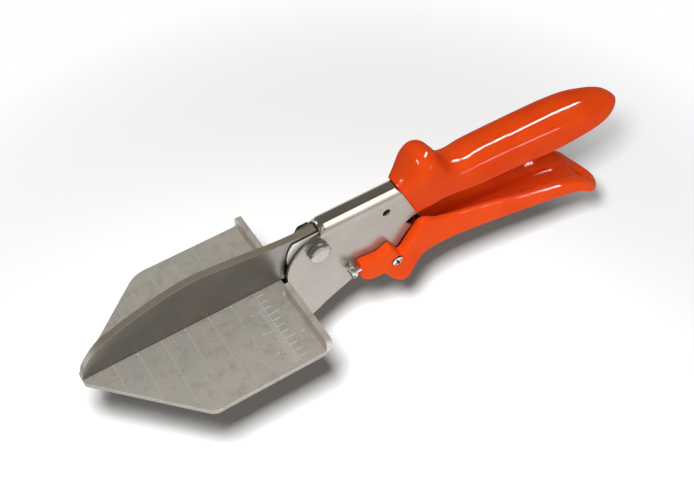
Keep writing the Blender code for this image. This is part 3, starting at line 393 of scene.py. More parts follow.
# colour, roughness, size of the grain, depth of its scratches, its stretch along X, Y and Z, darkness and
# size of the clouds, and how metallic the steel is
steels = {
    "zincSteel": ((178, 175, 169), 0.24, 0.4, 0.004, (2, 1, 1), 0.06, 2, 1.0),
    "darkSteel": ((70, 70, 72), 0.42, 0.4, 0.006, (2, 1, 1), 0.1, 4, 1.0),
    "bronzeMetal": ((176, 140, 88), 0.36, 0.4, 0.006, (2, 1, 1), 0.1, 4, 1.0),
    "anvilInsert": ((200, 196, 188), 0.45, 0.5, 0.006, (8, 1, 1), 0.06, 6, 0.4),
    "discSteel": ((240, 238, 233), 0.3, 0.4, 0.004, (2, 1, 1), 0.04, 3, 0.35),
    "markMetal": ((212, 213, 208), 0.5, 0.3, 0.004, (1, 2, 1), 0.05, 3, 0.1)}


def makeSteel(name, colour, roughness, grain, scratch, stretch, stain, cloudSize, metallic):
    # rolled steel: cloudy tone, drawn grain and fine scratches
    paint = Paint(name, Metallic=metallic)
    cloud, lines = paint.noise(cloudSize, 4, 0.6), paint.noise(grain, 3, 0.6, stretch)
    base = tone(colour)
    dim = tuple(value * (1 - 2 * stain) for value in base)
    share = paint.ramp(cloud * 0.6 + lines * 0.4, 0.36, 0.64)
    crossing = paint.noise(grain * 0.6, 2, 0.5, (1, stretch[0] * 0.5, 1))
    return paint.done(paint.blend(share, dim, base), uneven(lines, cloud, roughness), lines + crossing * 0.4, scratch)


# backFrom is how far a face has to look up to take the back's colour, which is painted paler as painted light on the
# top
honed = {"face": (150, 146, 141), "dim": 0.84, "back": (222, 211, 198), "backDim": (206, 194, 180),
         "backFrom": (0.45, 0.65), "roughness": 0.36, "scratch": 0.008}


def makeBladeSteel():
    # drawn grey faces and a browner ground back, painted paler as painted light on the faces that look up
    paint = Paint("bladeSteel", Metallic=1.0)
    cloud, lines = paint.noise(16, 4, 0.6), paint.noise(0.3, 3, 0.6, (10, 1, 1))
    share = paint.ramp(cloud * 0.6 + lines * 0.4, 0.36, 0.64)
    face = tone(honed["face"])
    faces = paint.blend(share, tuple(value * honed["dim"] for value in face), face)
    back = paint.blend(share, tone(honed["backDim"]), tone(honed["back"]))
    # painted light: faces that look up get the paler back colour
    up = paint.node("SeparateXYZ", {"Vector": paint.node("TexCoord", take="Normal")}, "Z")
    colour = paint.blend(paint.ramp(up, *honed["backFrom"]), faces, back)
    return paint.done(colour, uneven(lines, cloud, honed["roughness"]), lines, honed["scratch"])


# foldLow is the fold's lower edge above the table and inner the walls' inner half width, in metres;
# foldRate is how fast the polish sets in, per metre; metal is how metallic the satin walls are; dim is the painted
# shade inside the channel
plating = {"cool": (168, 163, 155), "warm": (163, 155, 147), "dim": (74, 70, 64), "satin": 0.24, "shine": 0.09,
           "smear": 0.08, "metal": 0.62, "foldLow": 0.0177, "foldRate": 700, "inner": 0.0034, "mark": 0.0012}


def makePlated():
    # bright plating: polished by the fold, satin on the walls, with painted shade on the inside between them
    paint = Paint("platedSteel")
    fold = paint.ramp((paint.along("Z") - plating["foldLow"]) * plating["foldRate"], 0.0, 1.0)
    cloud, smear = paint.noise(16, 3, 0.5), paint.noise(2.5, 4, 0.6, (5, 1, 1))
    share = paint.ramp(cloud * 0.7 + smear * 0.3, 0.38, 0.62)
    colour = paint.blend(share, tone(plating["cool"]), tone(plating["warm"]))
    # painted shade: faces inside the channel, below the fold, take the dim colour
    inside = abs(paint.along("Y")) < plating["inner"]
    satin = plating["satin"] + smear * plating["smear"] - plating["smear"] / 2
    paint.set("Metallic", fold * (1 - plating["metal"]) + plating["metal"])
    return paint.done(paint.blend(inside * (1 - fold), colour, tone(plating["dim"])),
                      satin - fold * (plating["satin"] - plating["shine"]),
                      smear + paint.noise(0.5, 2, 0.5, (8, 1, 1)) * 0.3, plating["mark"])


# painted shade: the under tone mixes into all that lies lower than sideFrom, in metres, by the share sideShade,
# darkening the plate's sides and underside
stainsAndSideShade = {"warm": (214, 204, 195), "cool": (202, 200, 191), "dull": (170, 164, 158), "under": (90, 87, 82),
          "sideShade": 0.5, "sideFrom": -0.0003, "roughness": 0.42, "scratch": 0.008}


def makeTableSteel():
    # ground plate: warm and cool clouds, freckles and fine scratches, with painted shade on its sides
    paint = Paint("tableSteel", Metallic=0.5)
    warm, cool, dull, under = (tone(stainsAndSideShade[key]) for key in ("warm", "cool", "dull", "under"))
    cloud, patch, freckle = paint.noise(13, 4, 0.62), paint.noise(5, 5, 0.65), paint.noise(0.8, 3, 0.6)
    lines = paint.noise(0.5, 3, 0.6, (1, 14, 1))
    colour = paint.blend(paint.ramp(cloud, 0.38, 0.62), warm, cool)
    colour = paint.blend(paint.ramp(patch, 0.5, 0.75) * 0.7, colour, dull)
    colour = paint.blend(paint.ramp(freckle * 0.6 + lines * 0.4, 0.5, 0.7) * 0.35, colour, dull)
    # painted shade on the sides and underside
    side = (paint.along("Z") < stainsAndSideShade["sideFrom"]) * stainsAndSideShade["sideShade"]
    rough = patch * 0.14 + lines * 0.1 + (stainsAndSideShade["roughness"] - 0.12)
    return paint.done(paint.blend(side, colour, under), rough, lines + freckle * 0.5, stainsAndSideShade["scratch"])


# where the painted shade lies down in the slots, in metres: between two X about a height for the adjusting screw's
# slot,
# # between two Y behind an X for the handle screw's cross
slotShade = {"tone": (92, 88, 84), "slotX": (0.11385, 0.11500), "slotZ": -0.0092, "slotHalf": 0.0005,
          "crossY": (-0.00885, -0.0060), "crossX": 0.130}
bright = {"pale": (226, 225, 222), "dull": (206, 204, 200), "roughness": 0.22, "scratch": 0.01}


def makeScrewSteel():
    # bright zinc, with painted shade down in the slots
    paint = Paint("screwSteel", Metallic=1.0)
    x, y, z = (paint.along(axis) for axis in "XYZ")
    (slotFront, slotRear), (crossFront, crossRear) = slotShade["slotX"], slotShade["crossY"]
    slot = (x > slotFront) * (x < slotRear) * (abs(z - slotShade["slotZ"]) < slotShade["slotHalf"])
    cross = (y > crossFront) * (y < crossRear) * (x > slotShade["crossX"])
    cloud = paint.noise(1.5, 3, 0.5)
    share = paint.ramp(cloud, 0.35, 0.65)
    zinc = paint.blend(share, tone(bright["pale"]), tone(bright["dull"]))
    rough = cloud * 0.12 + (bright["roughness"] - 0.06)
    # painted shade: the insides of the slot and the cross take the dark tone
    colour = paint.blend(slot + cross, zinc, tone(slotShade["tone"]))
    return paint.done(colour, rough, paint.noise(0.6, 3, 0.6), bright["scratch"])


# scored lines: light is the painted highlight strip, dark the painted shade strip beside it; near and far are their
# strength on each side
score = {"light": (228, 221, 211), "dark": (160, 152, 144), "near": 0.9, "far": 0.25, "roughness": 0.47}


def makeScore(name, colour):
    # one strip of an engraved line, a painted highlight or a painted shade by its colour, fading towards the blade and
    # fainter on the far side
    paint = Paint(name, Metallic=0.4)
    side = paint.along("Y")
    near = paint.ramp(side * -30 + paint.noise(6, 3, 0.6) * 0.5 - 0.3, 0.05, 0.8)
    far = paint.ramp(side * 30, 0.3, 0.9)
    share = near * score["near"] + far * score["far"]
    paint.set("Base Color", paint.blend(share, tone(stainsAndSideShade["warm"]), tone(colour)))
    paint.set("Roughness", paint.noise(1, 3) * 0.1 + (score["roughness"] - 0.05))
    return paint.material


orangeCoat = makeCoat()
platedSteel = makePlated()
tableSteel = makeTableSteel()
bladeSteel = makeBladeSteel()
screwSteel = makeScrewSteel()
zincSteel, darkSteel, bronzeMetal, anvilInsert, discSteel, markMetal = (
    makeSteel(name, *looks) for name, looks in steels.items())
scoreHighlight = makeScore("scoreHighlight", score["light"])
scoreShade = makeScore("scoreShade", score["dark"])
print("finishes made")


# Table

# inset, notch and relief are the gaps in the fence beside the blade; groove is the insert's bed
table = {"length": 82.8, "near": nearHalf, "far": 32.3, "thick": plateThick, "rise": 6.3, "fence": 2.5, "bend": 1.0,
         "tip": 2.5, "nearShoulder": 35.1, "farShoulder": 37.0, "nearRound": 5.5, "farRound": 13, "corner": 2,
         "inset": 7.3, "notch": 3.3, "relief": 1.0, "reliefBack": 0.2, "edge": 0.22,
         "groove": ((3.9, -1.68), (76.1, 1.68)), "grooveDepth": 1.3}


def makeTable():
    # plate and fence as one bent profile, trimmed to its plan
    front, rear, under, top = table["length"], table["length"] + table["fence"], -table["thick"], table["rise"]
    bend, outer = table["bend"], table["bend"] + table["fence"]
    profile = join([[(-spare, under)], turn((rear - outer, under + outer), outer, -90, 0, 12),
                    [(rear, top), (front, top)], turn((front - bend, bend), bend, 0, -90, 8), [(-spare, 0)]])
    plate = slab("tablePlate", profile, 1, -table["near"] - spare, table["far"] + spare)
    tipNear, tipFar = (0, -table["tip"]), (0, table["tip"])
    near, far = (table["nearShoulder"], -table["near"]), (table["farShoulder"], table["far"])
    backNear, backFar = (rear + spare, -table["near"]), (rear + spare, table["far"])
    plan = join([[tipNear], roundCorner(tipNear, near, backNear, table["nearRound"], 14), [backNear, backFar],
                 roundCorner(backFar, far, tipFar, table["farRound"], 20), [tipFar]])
    carve(plate, "INTERSECT", slab("plan", plan, 2, under - spare, top + spare))
    inset, start = table["inset"], front - table["notch"]
    notch = box((start, -inset), (rear + spare, inset))
    bore = [(under - spare, table["relief"]), (spare, table["relief"])]
    reliefs = [turned("relief", bore, 2, (front + table["reliefBack"], side * inset), 24) for side in (-1, 1)]
    corners = []
    for side, reach in ((-1, table["near"]), (1, table["far"])):
        centre, past = (side * (reach - table["corner"]), top - table["corner"]), side * (reach + spare)
        waste = join([turn(centre, table["corner"], 90 - side * 90, 90, 8),
                      [(centre[0], top + spare), (past, top + spare), (past, centre[1])]])
        corners.append(slab("corner", waste, 0, front - 3, rear + spare))
    carve(plate, "DIFFERENCE", slab("notch", notch, 2, -0.01, top + spare), *reliefs,
          slab("groove", box(*table["groove"]), 2, -table["grooveDepth"], spare), *corners)
    soften(plate, table["edge"])
    wear(plate, "frame", tableSteel, "table_steel", "anvil_table")


# lines start bladeGap from the blade's plane and end edgeGap before the table's edge; a rule has the X of
# its ticks, their first Y, step, number, width and side, and reaches: every how many, which, how far
marks = {"proud": 0.012, "sunk": 0.05, "scoreWidth": 0.2, "firstScore": 12.16, "scoreStep": 10.0, "scores": 6,
         "bladeGap": 2.2, "edgeGap": 1.2, "dot": 0.5, "dotHalf": 0.3, "dotPlace": -1.7,
         "rules": ((72.3, -3.0, 1.0, 34, 0.2, -1, ((1, 0, 2.3), (5, 2, 3.2), (10, 7, 4.2))),
                   (72.7, -3.2, 3.175, 11, 0.32, 1, ((1, 0, 3.0), (4, 3, 4.4)))),
         "spine": (72.5, -2.4, 72.5, -36.6), "spineWidth": 0.16, "figure": 2.3,
         "figures": (("1", 66.2, -9.4), ("2", 66.2, -19.4), ("3", 66.2, -29.4), ("1", 79.2, -12.9), ("2", 79.2, -25.6))}


def strips(name, lines, width):
    # thin bars on the table; each line is the X and Y of its start and of its end
    start, end = lines[:, :2], lines[:, 2:]
    along = end - start
    side = abreast(-along[:, 1], along[:, 0]) / np.linalg.norm(along, axis=1)[:, None]
    side = side * np.reshape(width, (-1, 1)) / 2
    corners = np.stack([start - side, end - side, end + side, start + side], 1)
    points = join([np.insert(corners, 2, z, -1) for z in (-marks["sunk"], marks["proud"])], 1)
    sides = np.array([[0, 3, 2, 1], [4, 5, 6, 7], [0, 1, 5, 4], [1, 2, 6, 5], [2, 3, 7, 6], [3, 0, 4, 7]])
    faces = (np.arange(len(lines))[:, None, None] * 8 + sides).reshape(-1, 4)
    return shape(name, inMetres(points).tolist(), faces.tolist())


def makeMarks():
    # lines, dots and ticks in plan, each a thin bar; each scored line is a painted highlight bar with a painted shade
    # bar beside it
    x = marks["firstScore"] + marks["scoreStep"] * np.arange(marks["scores"])
    near, far = (np.interp(x, [0, table[side + "Shoulder"]], [table["tip"], table[side]]) for side in ("near", "far"))
    start, short, half, flat = (marks[key] for key in ("bladeGap", "edgeGap", "dotHalf", "dotPlace"))
    lines = join([abreast(x, -start, x, short - near), abreast(x, start, x, far - short)])
    # painted shade bar, one line width beside each painted highlight bar
    shade = lines + np.array([1, 0, 1, 0]) * marks["scoreWidth"]
    dots = abreast(x - half, flat, x + half, flat)
    ticks, widths = [], []
    for across, first, step, number, width, side, reaches in marks["rules"]:
        count = np.arange(number)
        y, reach = first - step * count, 0
        for every, which, far in reaches:
            reach = np.where(count % every == which, far, reach)
        ticks.append(abreast(across, y, across + side * reach, y))
        widths += [width] * number
    ruler, widths = join([*ticks, [marks["spine"]]]), widths + [marks["spineWidth"]]
    fine = marks["scoreWidth"]
    for name, bars, width, paint in (
            ("scoredLines", lines, fine, scoreHighlight), ("scoredShade", shade, fine, scoreShade),
            ("startDots", dots, marks["dot"], markMetal), ("rulerTicks", ruler, widths, markMetal)):
        wear(strips(name, bars, width), "frame", paint, "table_steel")
    for number, (word, *spot) in enumerate(marks["figures"]):
        numeral(f"numeral{number}", word, spot)


def numeral(name, word, spot):
    # raised figure, read from the near side
    text = bpy.data.curves.new(name, "FONT")
    text.body = word
    text.size = marks["figure"] * 0.001
    text.extrude = 0.00002
    text.align_x = "CENTER"
    made = stand(name, text)
    mesh = baked(made)
    bpy.data.objects.remove(made, do_unlink=True)
    mesh.transform(Matrix.Translation(inMetres([(*spot, -0.005)])[0]) @ Matrix.Rotation(math.radians(-90), 4, "Z"))
    wear(stand(name, mesh), "frame", markMetal, "table_steel")


makeTable()
makeMarks()
print("table made")


# Folded frame

handle = {"start": 138.0, "length": 119.0, "half": 10.3, "hump": 13.8, "coat": 1.8, "blend": 147.0, "blendOver": 21.0}

# upper handle: shares of its length, of its half width, and of the hump's rise over the back
upperForm = np.array([
    (0.0, 0.515, 0.08), (0.021, 0.602, 0.232), (0.046, 0.738, 0.558), (0.071, 0.854, 0.884), (0.097, 0.893, 1.0),
    (0.122, 0.893, 0.942), (0.151, 0.874, 0.667), (0.181, 0.854, 0.297), (0.206, 0.854, 0.072), (0.235, 0.874, -0.014),
    (0.311, 0.913, 0.029), (0.437, 0.951, 0.022), (0.563, 0.981, -0.007), (0.689, 1.0, -0.058), (0.79, 1.0, -0.181),
    (0.857, 0.932, -0.348), (0.908, 0.80, -0.493), (0.941, 0.641, -0.623), (0.966, 0.447, -0.783),
    (0.987, 0.214, -0.964), (1.0, 0.049, -1.145)]) * (
        handle["length"], handle["half"], handle["hump"]) + (handle["start"], 0, backTop)

# nose is the front of the fold, rim how far it is drawn in there and roll over what length; cheek is the
# round front of the walls, jaw their lower edge back from the tip, heel and hook the edge up to the grip
channel = {"half": 4.2, "sheet": 1.6, "end": 238.0, "edge": 0.25, "nose": 101.8, "roll": 2.8, "rim": 1.7,
           "deep": -45.0, "noseLow": 20.12, "cheek": (103.0, 3.5), "cheekRadius": 16.65, "jawTop": -2.6,
           "jawRear": 87.3, "jawTip": (8, -4.5),
           "jaw": ((17.14, -6.93), (31.76, -12.6), (48.22, -18.9), (64.67, -25.2), (77.46, -29.3), (87.52, -31.5),
                   (93.9, -31.03), (99.4, -29.0), (103.4, -26.2), (108.3, -23.4), (113.3, -20.9), (116.2, -19.2)),
           "heel": ((124.0, -17.03), (131.1, -12.48), (135.5, -9.49), (136.8, -10.79), (138.4, -13)),
           "hook": ((145.5, -2.2), (142.3, 1.6), (147.9, 3.8), (148.7, 5.6), (151.5, 9.2), (155.1, 11)),
           "holes": ((3.1, pivotPlace), (1.85, (132.5, 14.2)), (1.8, (92.0, -22.0)),
                     (1.8, (33.25, -7.3)), (1.8, (51.55, -7.3)), (1.8, (69.85, -7.3)))}


def coreHalf(x):
    # half width of the steel, from the walls to the handle's core
    share = np.clip((x - handle["blend"]) / handle["blendOver"], 0, 1)
    wide = np.interp(x, upperForm[:, 0], upperForm[:, 1]) - handle["coat"]
    return channel["half"] + (wide - channel["half"]) * share


def coreTop(x):
    top = np.interp(x, upperForm[:, 0], upperForm[:, 2]) - handle["coat"]
    return np.where(x <= handle["start"], backTop, np.minimum(backTop, top))


def arch(x, half, top, bottom, shrink, count=49):
    # upside-down U at each x: half a circle on two legs; shrink draws the round part in
    angle = np.linspace(np.pi, 0, count)
    radius = half[:, None] - shrink[:, None] * np.clip(2 * np.sin(angle), 0, 1)
    y = radius * np.cos(angle)
    z = (top - half)[:, None] + radius * np.sin(angle)
    y = join([-half[:, None], y, half[:, None]], 1)
    z = join([bottom[:, None], z, bottom[:, None]], 1)
    return abreast(x[:, None], y, z)


def makeFrame():
    # arch along X less a smaller arch, trimmed to its side view and drilled
    roll = channel["nose"] + channel["roll"] * np.linspace(0, 1, 9)
    x = join([[-spare], roll, [147, 150, 153, 156, 160, 164, 168, 180, 200, 219, 225, 232, 244.0]])
    flat = np.clip((x - channel["nose"]) / channel["roll"], 0, 1)
    shrink = channel["rim"] * (1 - np.sqrt(1 - (1 - flat) ** 2))
    deep = np.full(len(x), channel["deep"])
    outside = solid("frameChannel", arch(x, coreHalf(x), coreTop(x), deep, shrink))
    x[-1] += spare
    sheet = channel["sheet"]
    inside = solid("inside", arch(x, coreHalf(x) - sheet, coreTop(x) - sheet, deep, 0 * x))
    nose, end, above, top = channel["nose"], channel["end"], backTop + spare, channel["jawTop"]
    outline = join([
        [(nose, above), (nose, channel["noseLow"])],
        turn(channel["cheek"], channel["cheekRadius"], 93.4, 196.2, 30)[1:],
        [(channel["jawRear"], top), (channel["jawTip"][0], top), channel["jawTip"]], curve(channel["jaw"], 60),
        channel["heel"], channel["hook"], [(end, channel["hook"][-1][1]), (end, above)]])
    carve(outside, "INTERSECT", slab("side", outline, 1, -2 * spare, 2 * spare))
    carve(outside, "DIFFERENCE", inside, *drills(channel["holes"]))
    soften(outside, channel["edge"], 40)
    wear(outside, "frame", platedSteel, "plated_steel", "frame_channel")


makeFrame()
print("frame made")


# Blade

# boss is the round about the pivot, above and below; neck, tang and tail are the tang's start, half
# width and round end; the taper and the bevel are ground off both faces
knife = {"thick": 3.0, "base": 1.1, "taperTop": 14.0, "bevelTop": 0.6, "edge": 0.15, "round": 0.35,
         "length": 98.7, "height": 26.7, "low": 0.3, "boss": (9.9, 11.6), "heel": (85.4, 1.0), "edgeEnd": 84.0,
         "neck": 20, "tang": 7.3, "tail": 4.6, "rivetAt": 53.5, "eye": 4.8, "hole": 1.8}


def makeBlade():
    # side view of knife, boss and tang; the back is in shares of length and height
    shares = np.array([
        (0.001, 0.0), (0.007, 0.152), (0.016, 0.24), (0.032, 0.33), (0.049, 0.408), (0.084, 0.541), (0.108, 0.611),
        (0.158, 0.68), (0.202, 0.748), (0.248, 0.804), (0.287, 0.848), (0.329, 0.892), (0.414, 0.963), (0.498, 1.0),
        (0.580, 0.974), (0.666, 0.935), (0.751, 0.893), (0.838, 0.843), (0.927, 0.816), (1.0, 0.806)])
    low, (above, below) = knife["low"], knife["boss"]
    back = curve(shares * (knife["length"], knife["height"]) + (0, low), 110)
    pivot, screw = np.array(pivotPlace), np.array(screwPlace)
    line = (screw - pivot) / np.linalg.norm(screw - pivot)
    side = np.array([-line[1], line[0]]) * knife["tang"]
    neck, rivet = pivot + line * knife["neck"], pivot + line * knife["rivetAt"]
    slope = math.degrees(math.atan2(line[1], line[0]))
    outline = join([
        back, turn(pivot, above, 90, 40, 12), [neck + side], turn(rivet, knife["tail"], slope + 90, slope - 90, 16),
        [neck - side], turn(pivot, below, slope - 40, -100, 12), [knife["heel"], (knife["edgeEnd"], low)]])
    full, edge, past = knife["thick"] / 2, knife["edge"], 8
    blade = slab("knifeBlade", outline, 1, -full, full)
    cut = np.array([(full, knife["taperTop"]), (knife["base"], knife["bevelTop"]), (edge, low), (edge, -spare),
                    (past, -spare), (past, knife["taperTop"])])
    wastes = [slab("grind", cut * (sign, 1), 0, -spare, knife["edgeEnd"] + 1) for sign in (-1, 1)]
    holes = drills(((knife["eye"], pivot), (knife["hole"], screw), (knife["hole"], rivet)))
    carve(blade, "DIFFERENCE", *wastes, *holes)
    soften(blade, knife["round"], 40)
    wear(blade, "lever", bladeSteel, "blade_steel", "blade")


makeBlade()
print("blade made")


# Upper grip

upper = {"wall": 4.4, "squareness": 2.25, "frontHalf": 4.3, "frontRound": 1.1, "tipHalf": 0.25, "seatEnd": 168,
         "cavityEnd": 236.4, "closeOver": 9, "rows": 150}


def upperEdge(x):
    # lower edge of the grip: shares of the handle's length and of the back's height
    shares = np.array([(0.084, 0.153), (0.105, 0.282), (0.137, 0.383), (0.227, 0.379), (0.319, 0.347), (0.496, 0.323),
                       (0.664, 0.262), (0.798, 0.298), (0.941, 0.323), (1.0, 0.353)])
    spots = shares * (handle["length"], backTop) + (handle["start"], 0)
    return spline(*spots.T)(x)


def superArc(half, top, foot, squareness, count):
    # half of a squared-off circle over legs: y and z go with the cosine and sine to the power 2 / squareness
    angle = np.linspace(np.pi, 0, count)
    reach = np.sign(np.cos(angle)) * np.abs(np.cos(angle)) ** (2 / squareness)
    rise = np.sin(angle) ** (2 / squareness)
    spring = np.maximum(top - half, foot)
    return half[:, None] * reach, spring[:, None] + (top - spring)[:, None] * rise


def makeUpperGrip():
    # closed ring at each station: outer arch, round lip, inner arch, round lip
    x, half, top = curve(upperForm, upper["rows"]).T
    half = np.maximum(half, upper["tipHalf"])
    along = x - handle["start"]
    front = np.clip(along / upper["frontRound"], 0, 1)
    half = upper["frontHalf"] + (half - upper["frontHalf"]) * np.sqrt(1 - (1 - front) ** 2 * 0.85)
    lean = np.interp(along / handle["length"], [0, 0.084, 0.311, 1], [0.475, 0.40, 0, 0])
    bottom = upperEdge(x)
    for repeat in range(12):
        bottom = upperEdge(x + lean * (backTop - bottom))
    bottom = np.minimum(bottom, top - half * 0.6 - 0.2)
    wall = np.minimum(upper["wall"], half * 0.98)
    wall = np.where(x < upper["seatEnd"], half - np.maximum(0.05, coreHalf(x) - 2.6), wall)
    wall = np.minimum(wall, half * 0.97)
    lip = wall / 2
    closing = np.clip((upper["cavityEnd"] - x) / upper["closeOver"], 0, 1)
    closing = closing * closing * (3 - 2 * closing)
    innerHalf = half - wall
    innerTop = np.minimum(coreTop(x) - 2.6, top - 2)
    innerTop = bottom + lip + (np.maximum(innerTop, bottom + lip + 0.1) - bottom - lip) * closing
    foot = bottom + lip
    outY, outZ = superArc(half, top, foot, upper["squareness"], 61)
    inY, inZ = superArc(innerHalf, innerTop, foot, 2.2, 31)
    sweep = np.linspace(0, -np.pi, 11)[1:-1]
    lipY = (half - lip)[:, None] + lip[:, None] * np.cos(sweep)
    lipZ = foot[:, None] + lip[:, None] * np.sin(sweep)
    legs = np.linspace(0, 1, 6)[1:-1]
    outLeg = outZ[:, -1:] + (foot[:, None] - outZ[:, -1:]) * legs
    inLeg = inZ[:, -1:] + (foot[:, None] - inZ[:, -1:]) * legs
    wide, inner = half[:, None] + 0 * legs, innerHalf[:, None] + 0 * legs
    y = join([outY, wide, lipY, inner, inY[:, ::-1], -inner, -lipY[:, ::-1], -wide], 1)
    z = join([outZ, outLeg, lipZ, inLeg[:, ::-1], inZ[:, ::-1], inLeg, lipZ[:, ::-1], outLeg[:, ::-1]], 1)
    run = x[:, None] + lean[:, None] * np.maximum(0, backTop - z)
    grip = solid("upperGrip", abreast(run, y, z))
    wear(grip, "frame", orangeCoat, "orange_coat", "upper_grip", smooth=70)


makeUpperGrip()
print("upper grip made")


# Lower grip

# deep, slope and floorRound shape the trough; each pair of close, thin and open is where it starts and
# over what length: the trough's rear end, the thin floor near it, and the trough behind the cheeks
lower = {"start": 118.2, "length": 138.2, "height": 44.9, "spread": 3.6, "corner": 5.5, "wall": 4.3, "cheek": 8.8,
         "lift": 0.5, "deep": 0.85, "slope": 4.0, "floorRound": 6.0, "rearThin": 2.2, "gap": 0.12, "web": 135.6,
         "close": (249.6, 5), "thin": (243, 6), "open": (146, 12), "seat": (-8.1, 3.0), "voxel": 0.42, "ease": 7}

# shares: of the length, of the drop of lip and underside, of the spread beyond the cheeks, of the corner
lowerForm = np.array([
    (0, 0.134, 0.312, 0, 0.18), (0.01, 0.138, 0.37, 0, 0.22), (0.028, 0.147, 0.428, 0, 0.27),
    (0.049, 0.16, 0.454, 0, 0.27), (0.067, 0.167, 0.463, 0, 0.27), (0.089, 0.134, 0.472, 0, 0.27),
    (0.11, 0.114, 0.575, 0, 0.36), (0.129, 0.203, 0.672, 0, 0.55), (0.147, 0.287, 0.742, 0, 0.73),
    (0.1535, 0.283, 0.764, 0, 0.75), (0.17, 0.207, 0.788, 0, 0.75), (0.187, 0.127, 0.762, 0, 0.75),
    (0.203, 0.051, 0.659, 0, 0.8), (0.219, -0.016, 0.579, 0, 0.9), (0.234, -0.027, 0.539, 0, 1),
    (0.252, -0.004, 0.517, 0, 1), (0.274, 0.04, 0.506, 0, 1), (0.302, 0.073, 0.503, 0, 1),
    (0.346, 0.12, 0.51, 0, 1), (0.407, 0.174, 0.535, 0.029, 0.96),
    (0.469, 0.232, 0.559, 0.084, 0.93), (0.527, 0.276, 0.581, 0.194, 0.89), (0.585, 0.334, 0.604, 0.304, 0.85),
    (0.65, 0.385, 0.63, 0.445, 0.82), (0.715, 0.434, 0.657, 0.583, 0.78), (0.78, 0.479, 0.684, 0.749, 0.75),
    (0.845, 0.541, 0.726, 0.917, 0.71), (0.881, 0.597, 0.775, 1, 0.67), (0.917, 0.695, 0.851, 1, 0.62),
    (0.943, 0.784, 0.904, 1, 0.53), (0.965, 0.844, 0.947, 1, 0.42), (0.983, 0.891, 0.98, 1, 0.33),
    (0.994, 0.92, 0.996, 1, 0.24), (1, 0.94, 1, 1, 0.13)])
rearRound = ((0.917, 0.943, 0.965, 0.983, 0.994, 1), (1, 0.871, 0.694, 0.468, 0.274, 0.129))
drawnIn = np.interp(lowerForm[:, 0], *rearRound)
lowerForm = lowerForm * (lower["length"], -lower["height"], -lower["height"], lower["spread"], lower["corner"])
lowerForm = lowerForm + (lower["start"], 0, 0, lower["cheek"], 0)
lowerForm[:, 3] *= drawnIn


def lowerAt(x, column):
    return spline(lowerForm[:, 0], lowerForm[:, column])(x)


def lowerStep(x, name):
    # from 0 to 1 over the named stretch
    start, over = lower[name]
    return np.clip((x[:, None] - start) / over, 0, 1)


def makeLowerGrip():
    # closed ring at each station: outer U, round lip, inner U, round lip
    rear = lower["start"] + lower["length"]
    x = join([np.linspace(lower["start"], 160, 80), np.linspace(160, rear, 120)[1:]])
    half, top, bottom = (lowerAt(x, column)[:, None] for column in (3, 1, 2))
    top = top + lower["lift"] * np.interp(x, [119, 121, 148, 152], [0, 1, 1, 0])[:, None]
    thick = top - bottom
    wall = np.minimum(lower["wall"], half * 0.9)
    closing = 1 - lowerStep(x, "close")
    floor = wall - lower["rearThin"] * lowerStep(x, "thin")
    depth = np.maximum(thick - floor, 0) * closing * closing * (3 - 2 * closing) + 0.02
    open = lowerStep(x, "open")
    crest = half - wall * (0.75 - 0.25 * open)
    lip = np.minimum(half - crest, thick * 0.4)
    dip = np.minimum(0.2 + (depth * lower["deep"] - 0.2) * open, depth * 0.9)
    radius = np.minimum(np.minimum(lowerAt(x, 4)[:, None], half - 0.3), thick - lip - 0.05)
    inner = half - wall - lower["gap"] * (1 - open)
    inner = inner - np.minimum(open * lower["slope"], inner * 0.45)
    flat = np.minimum(inner * 0.98, lower["floorRound"])
    rise = np.minimum(depth - dip, lower["floorRound"])
    quarter = np.linspace(0, np.pi / 2, 9)
    y = [half - radius + radius * np.sin(quarter), crest + (half - crest) * np.cos(quarter),
         crest - (crest - inner) * np.sin(quarter[1:]), inner - flat + flat * np.cos(quarter)]
    z = [bottom + radius - radius * np.cos(quarter), top - lip + lip * np.sin(quarter),
         top - dip + dip * np.cos(quarter[1:]), top - depth + rise - rise * np.sin(quarter)]
    y, z = join(y, 1), join(z, 1)
    y, z = join([y, -y[:, ::-1]], 1), join([z, z[:, ::-1]], 1)
    grip = solid("lowerGrip", abreast(x[:, None], y, z))
    reach, (floor, radius) = lower["cheek"] - lower["wall"] - lower["gap"], lower["seat"]
    mouth = slab("mouth", box((110, -60), (lower["web"], 8)), 1, -reach, reach)
    seat = turned("seat", [(floor - spare, radius), (floor, radius)], 1, screwPlace, 40)
    carve(grip, "DIFFERENCE", mouth, seat)
    melt(grip, lower["voxel"], lower["ease"])
    wear(grip, "lever", orangeCoat, "orange_coat", "lower_grip")


makeLowerGrip()
print("lower grip made")


# Fasteners and fittings

# crossTurn is the cosine and sine of the cross's turn; axis, head, thread and shank are the adjuster's
screws = {"slot": 0.95, "slotDepth": 1.1, "cross": 3.7, "crossTurn": (0.906, 0.423), "front": -9.45,
          "axis": (-7.3, -9.2), "head": (113.5, 115.7), "thread": (116.0, 123.0), "pitch": 0.7, "shank": 123.6}


def makeBolt():
    # low dome, collar and shank turned about Y
    profile = [(-7.5, 0.6), (-7.46, 1.8), (-7.35, 3.0), (-7.1, 3.9), (-6.7, 4.45), (-6.2, 4.68), (-4.7, 4.7),
               (-4.5, 4.55), (-4.5, 2.8), (7.6, 2.8), (7.8, 2.6)]
    wear(turned("pivotBolt", profile, 1, pivotPlace, 64), "frame", zincSteel, "zinc_fittings", "pivot_bolt", smooth=50)


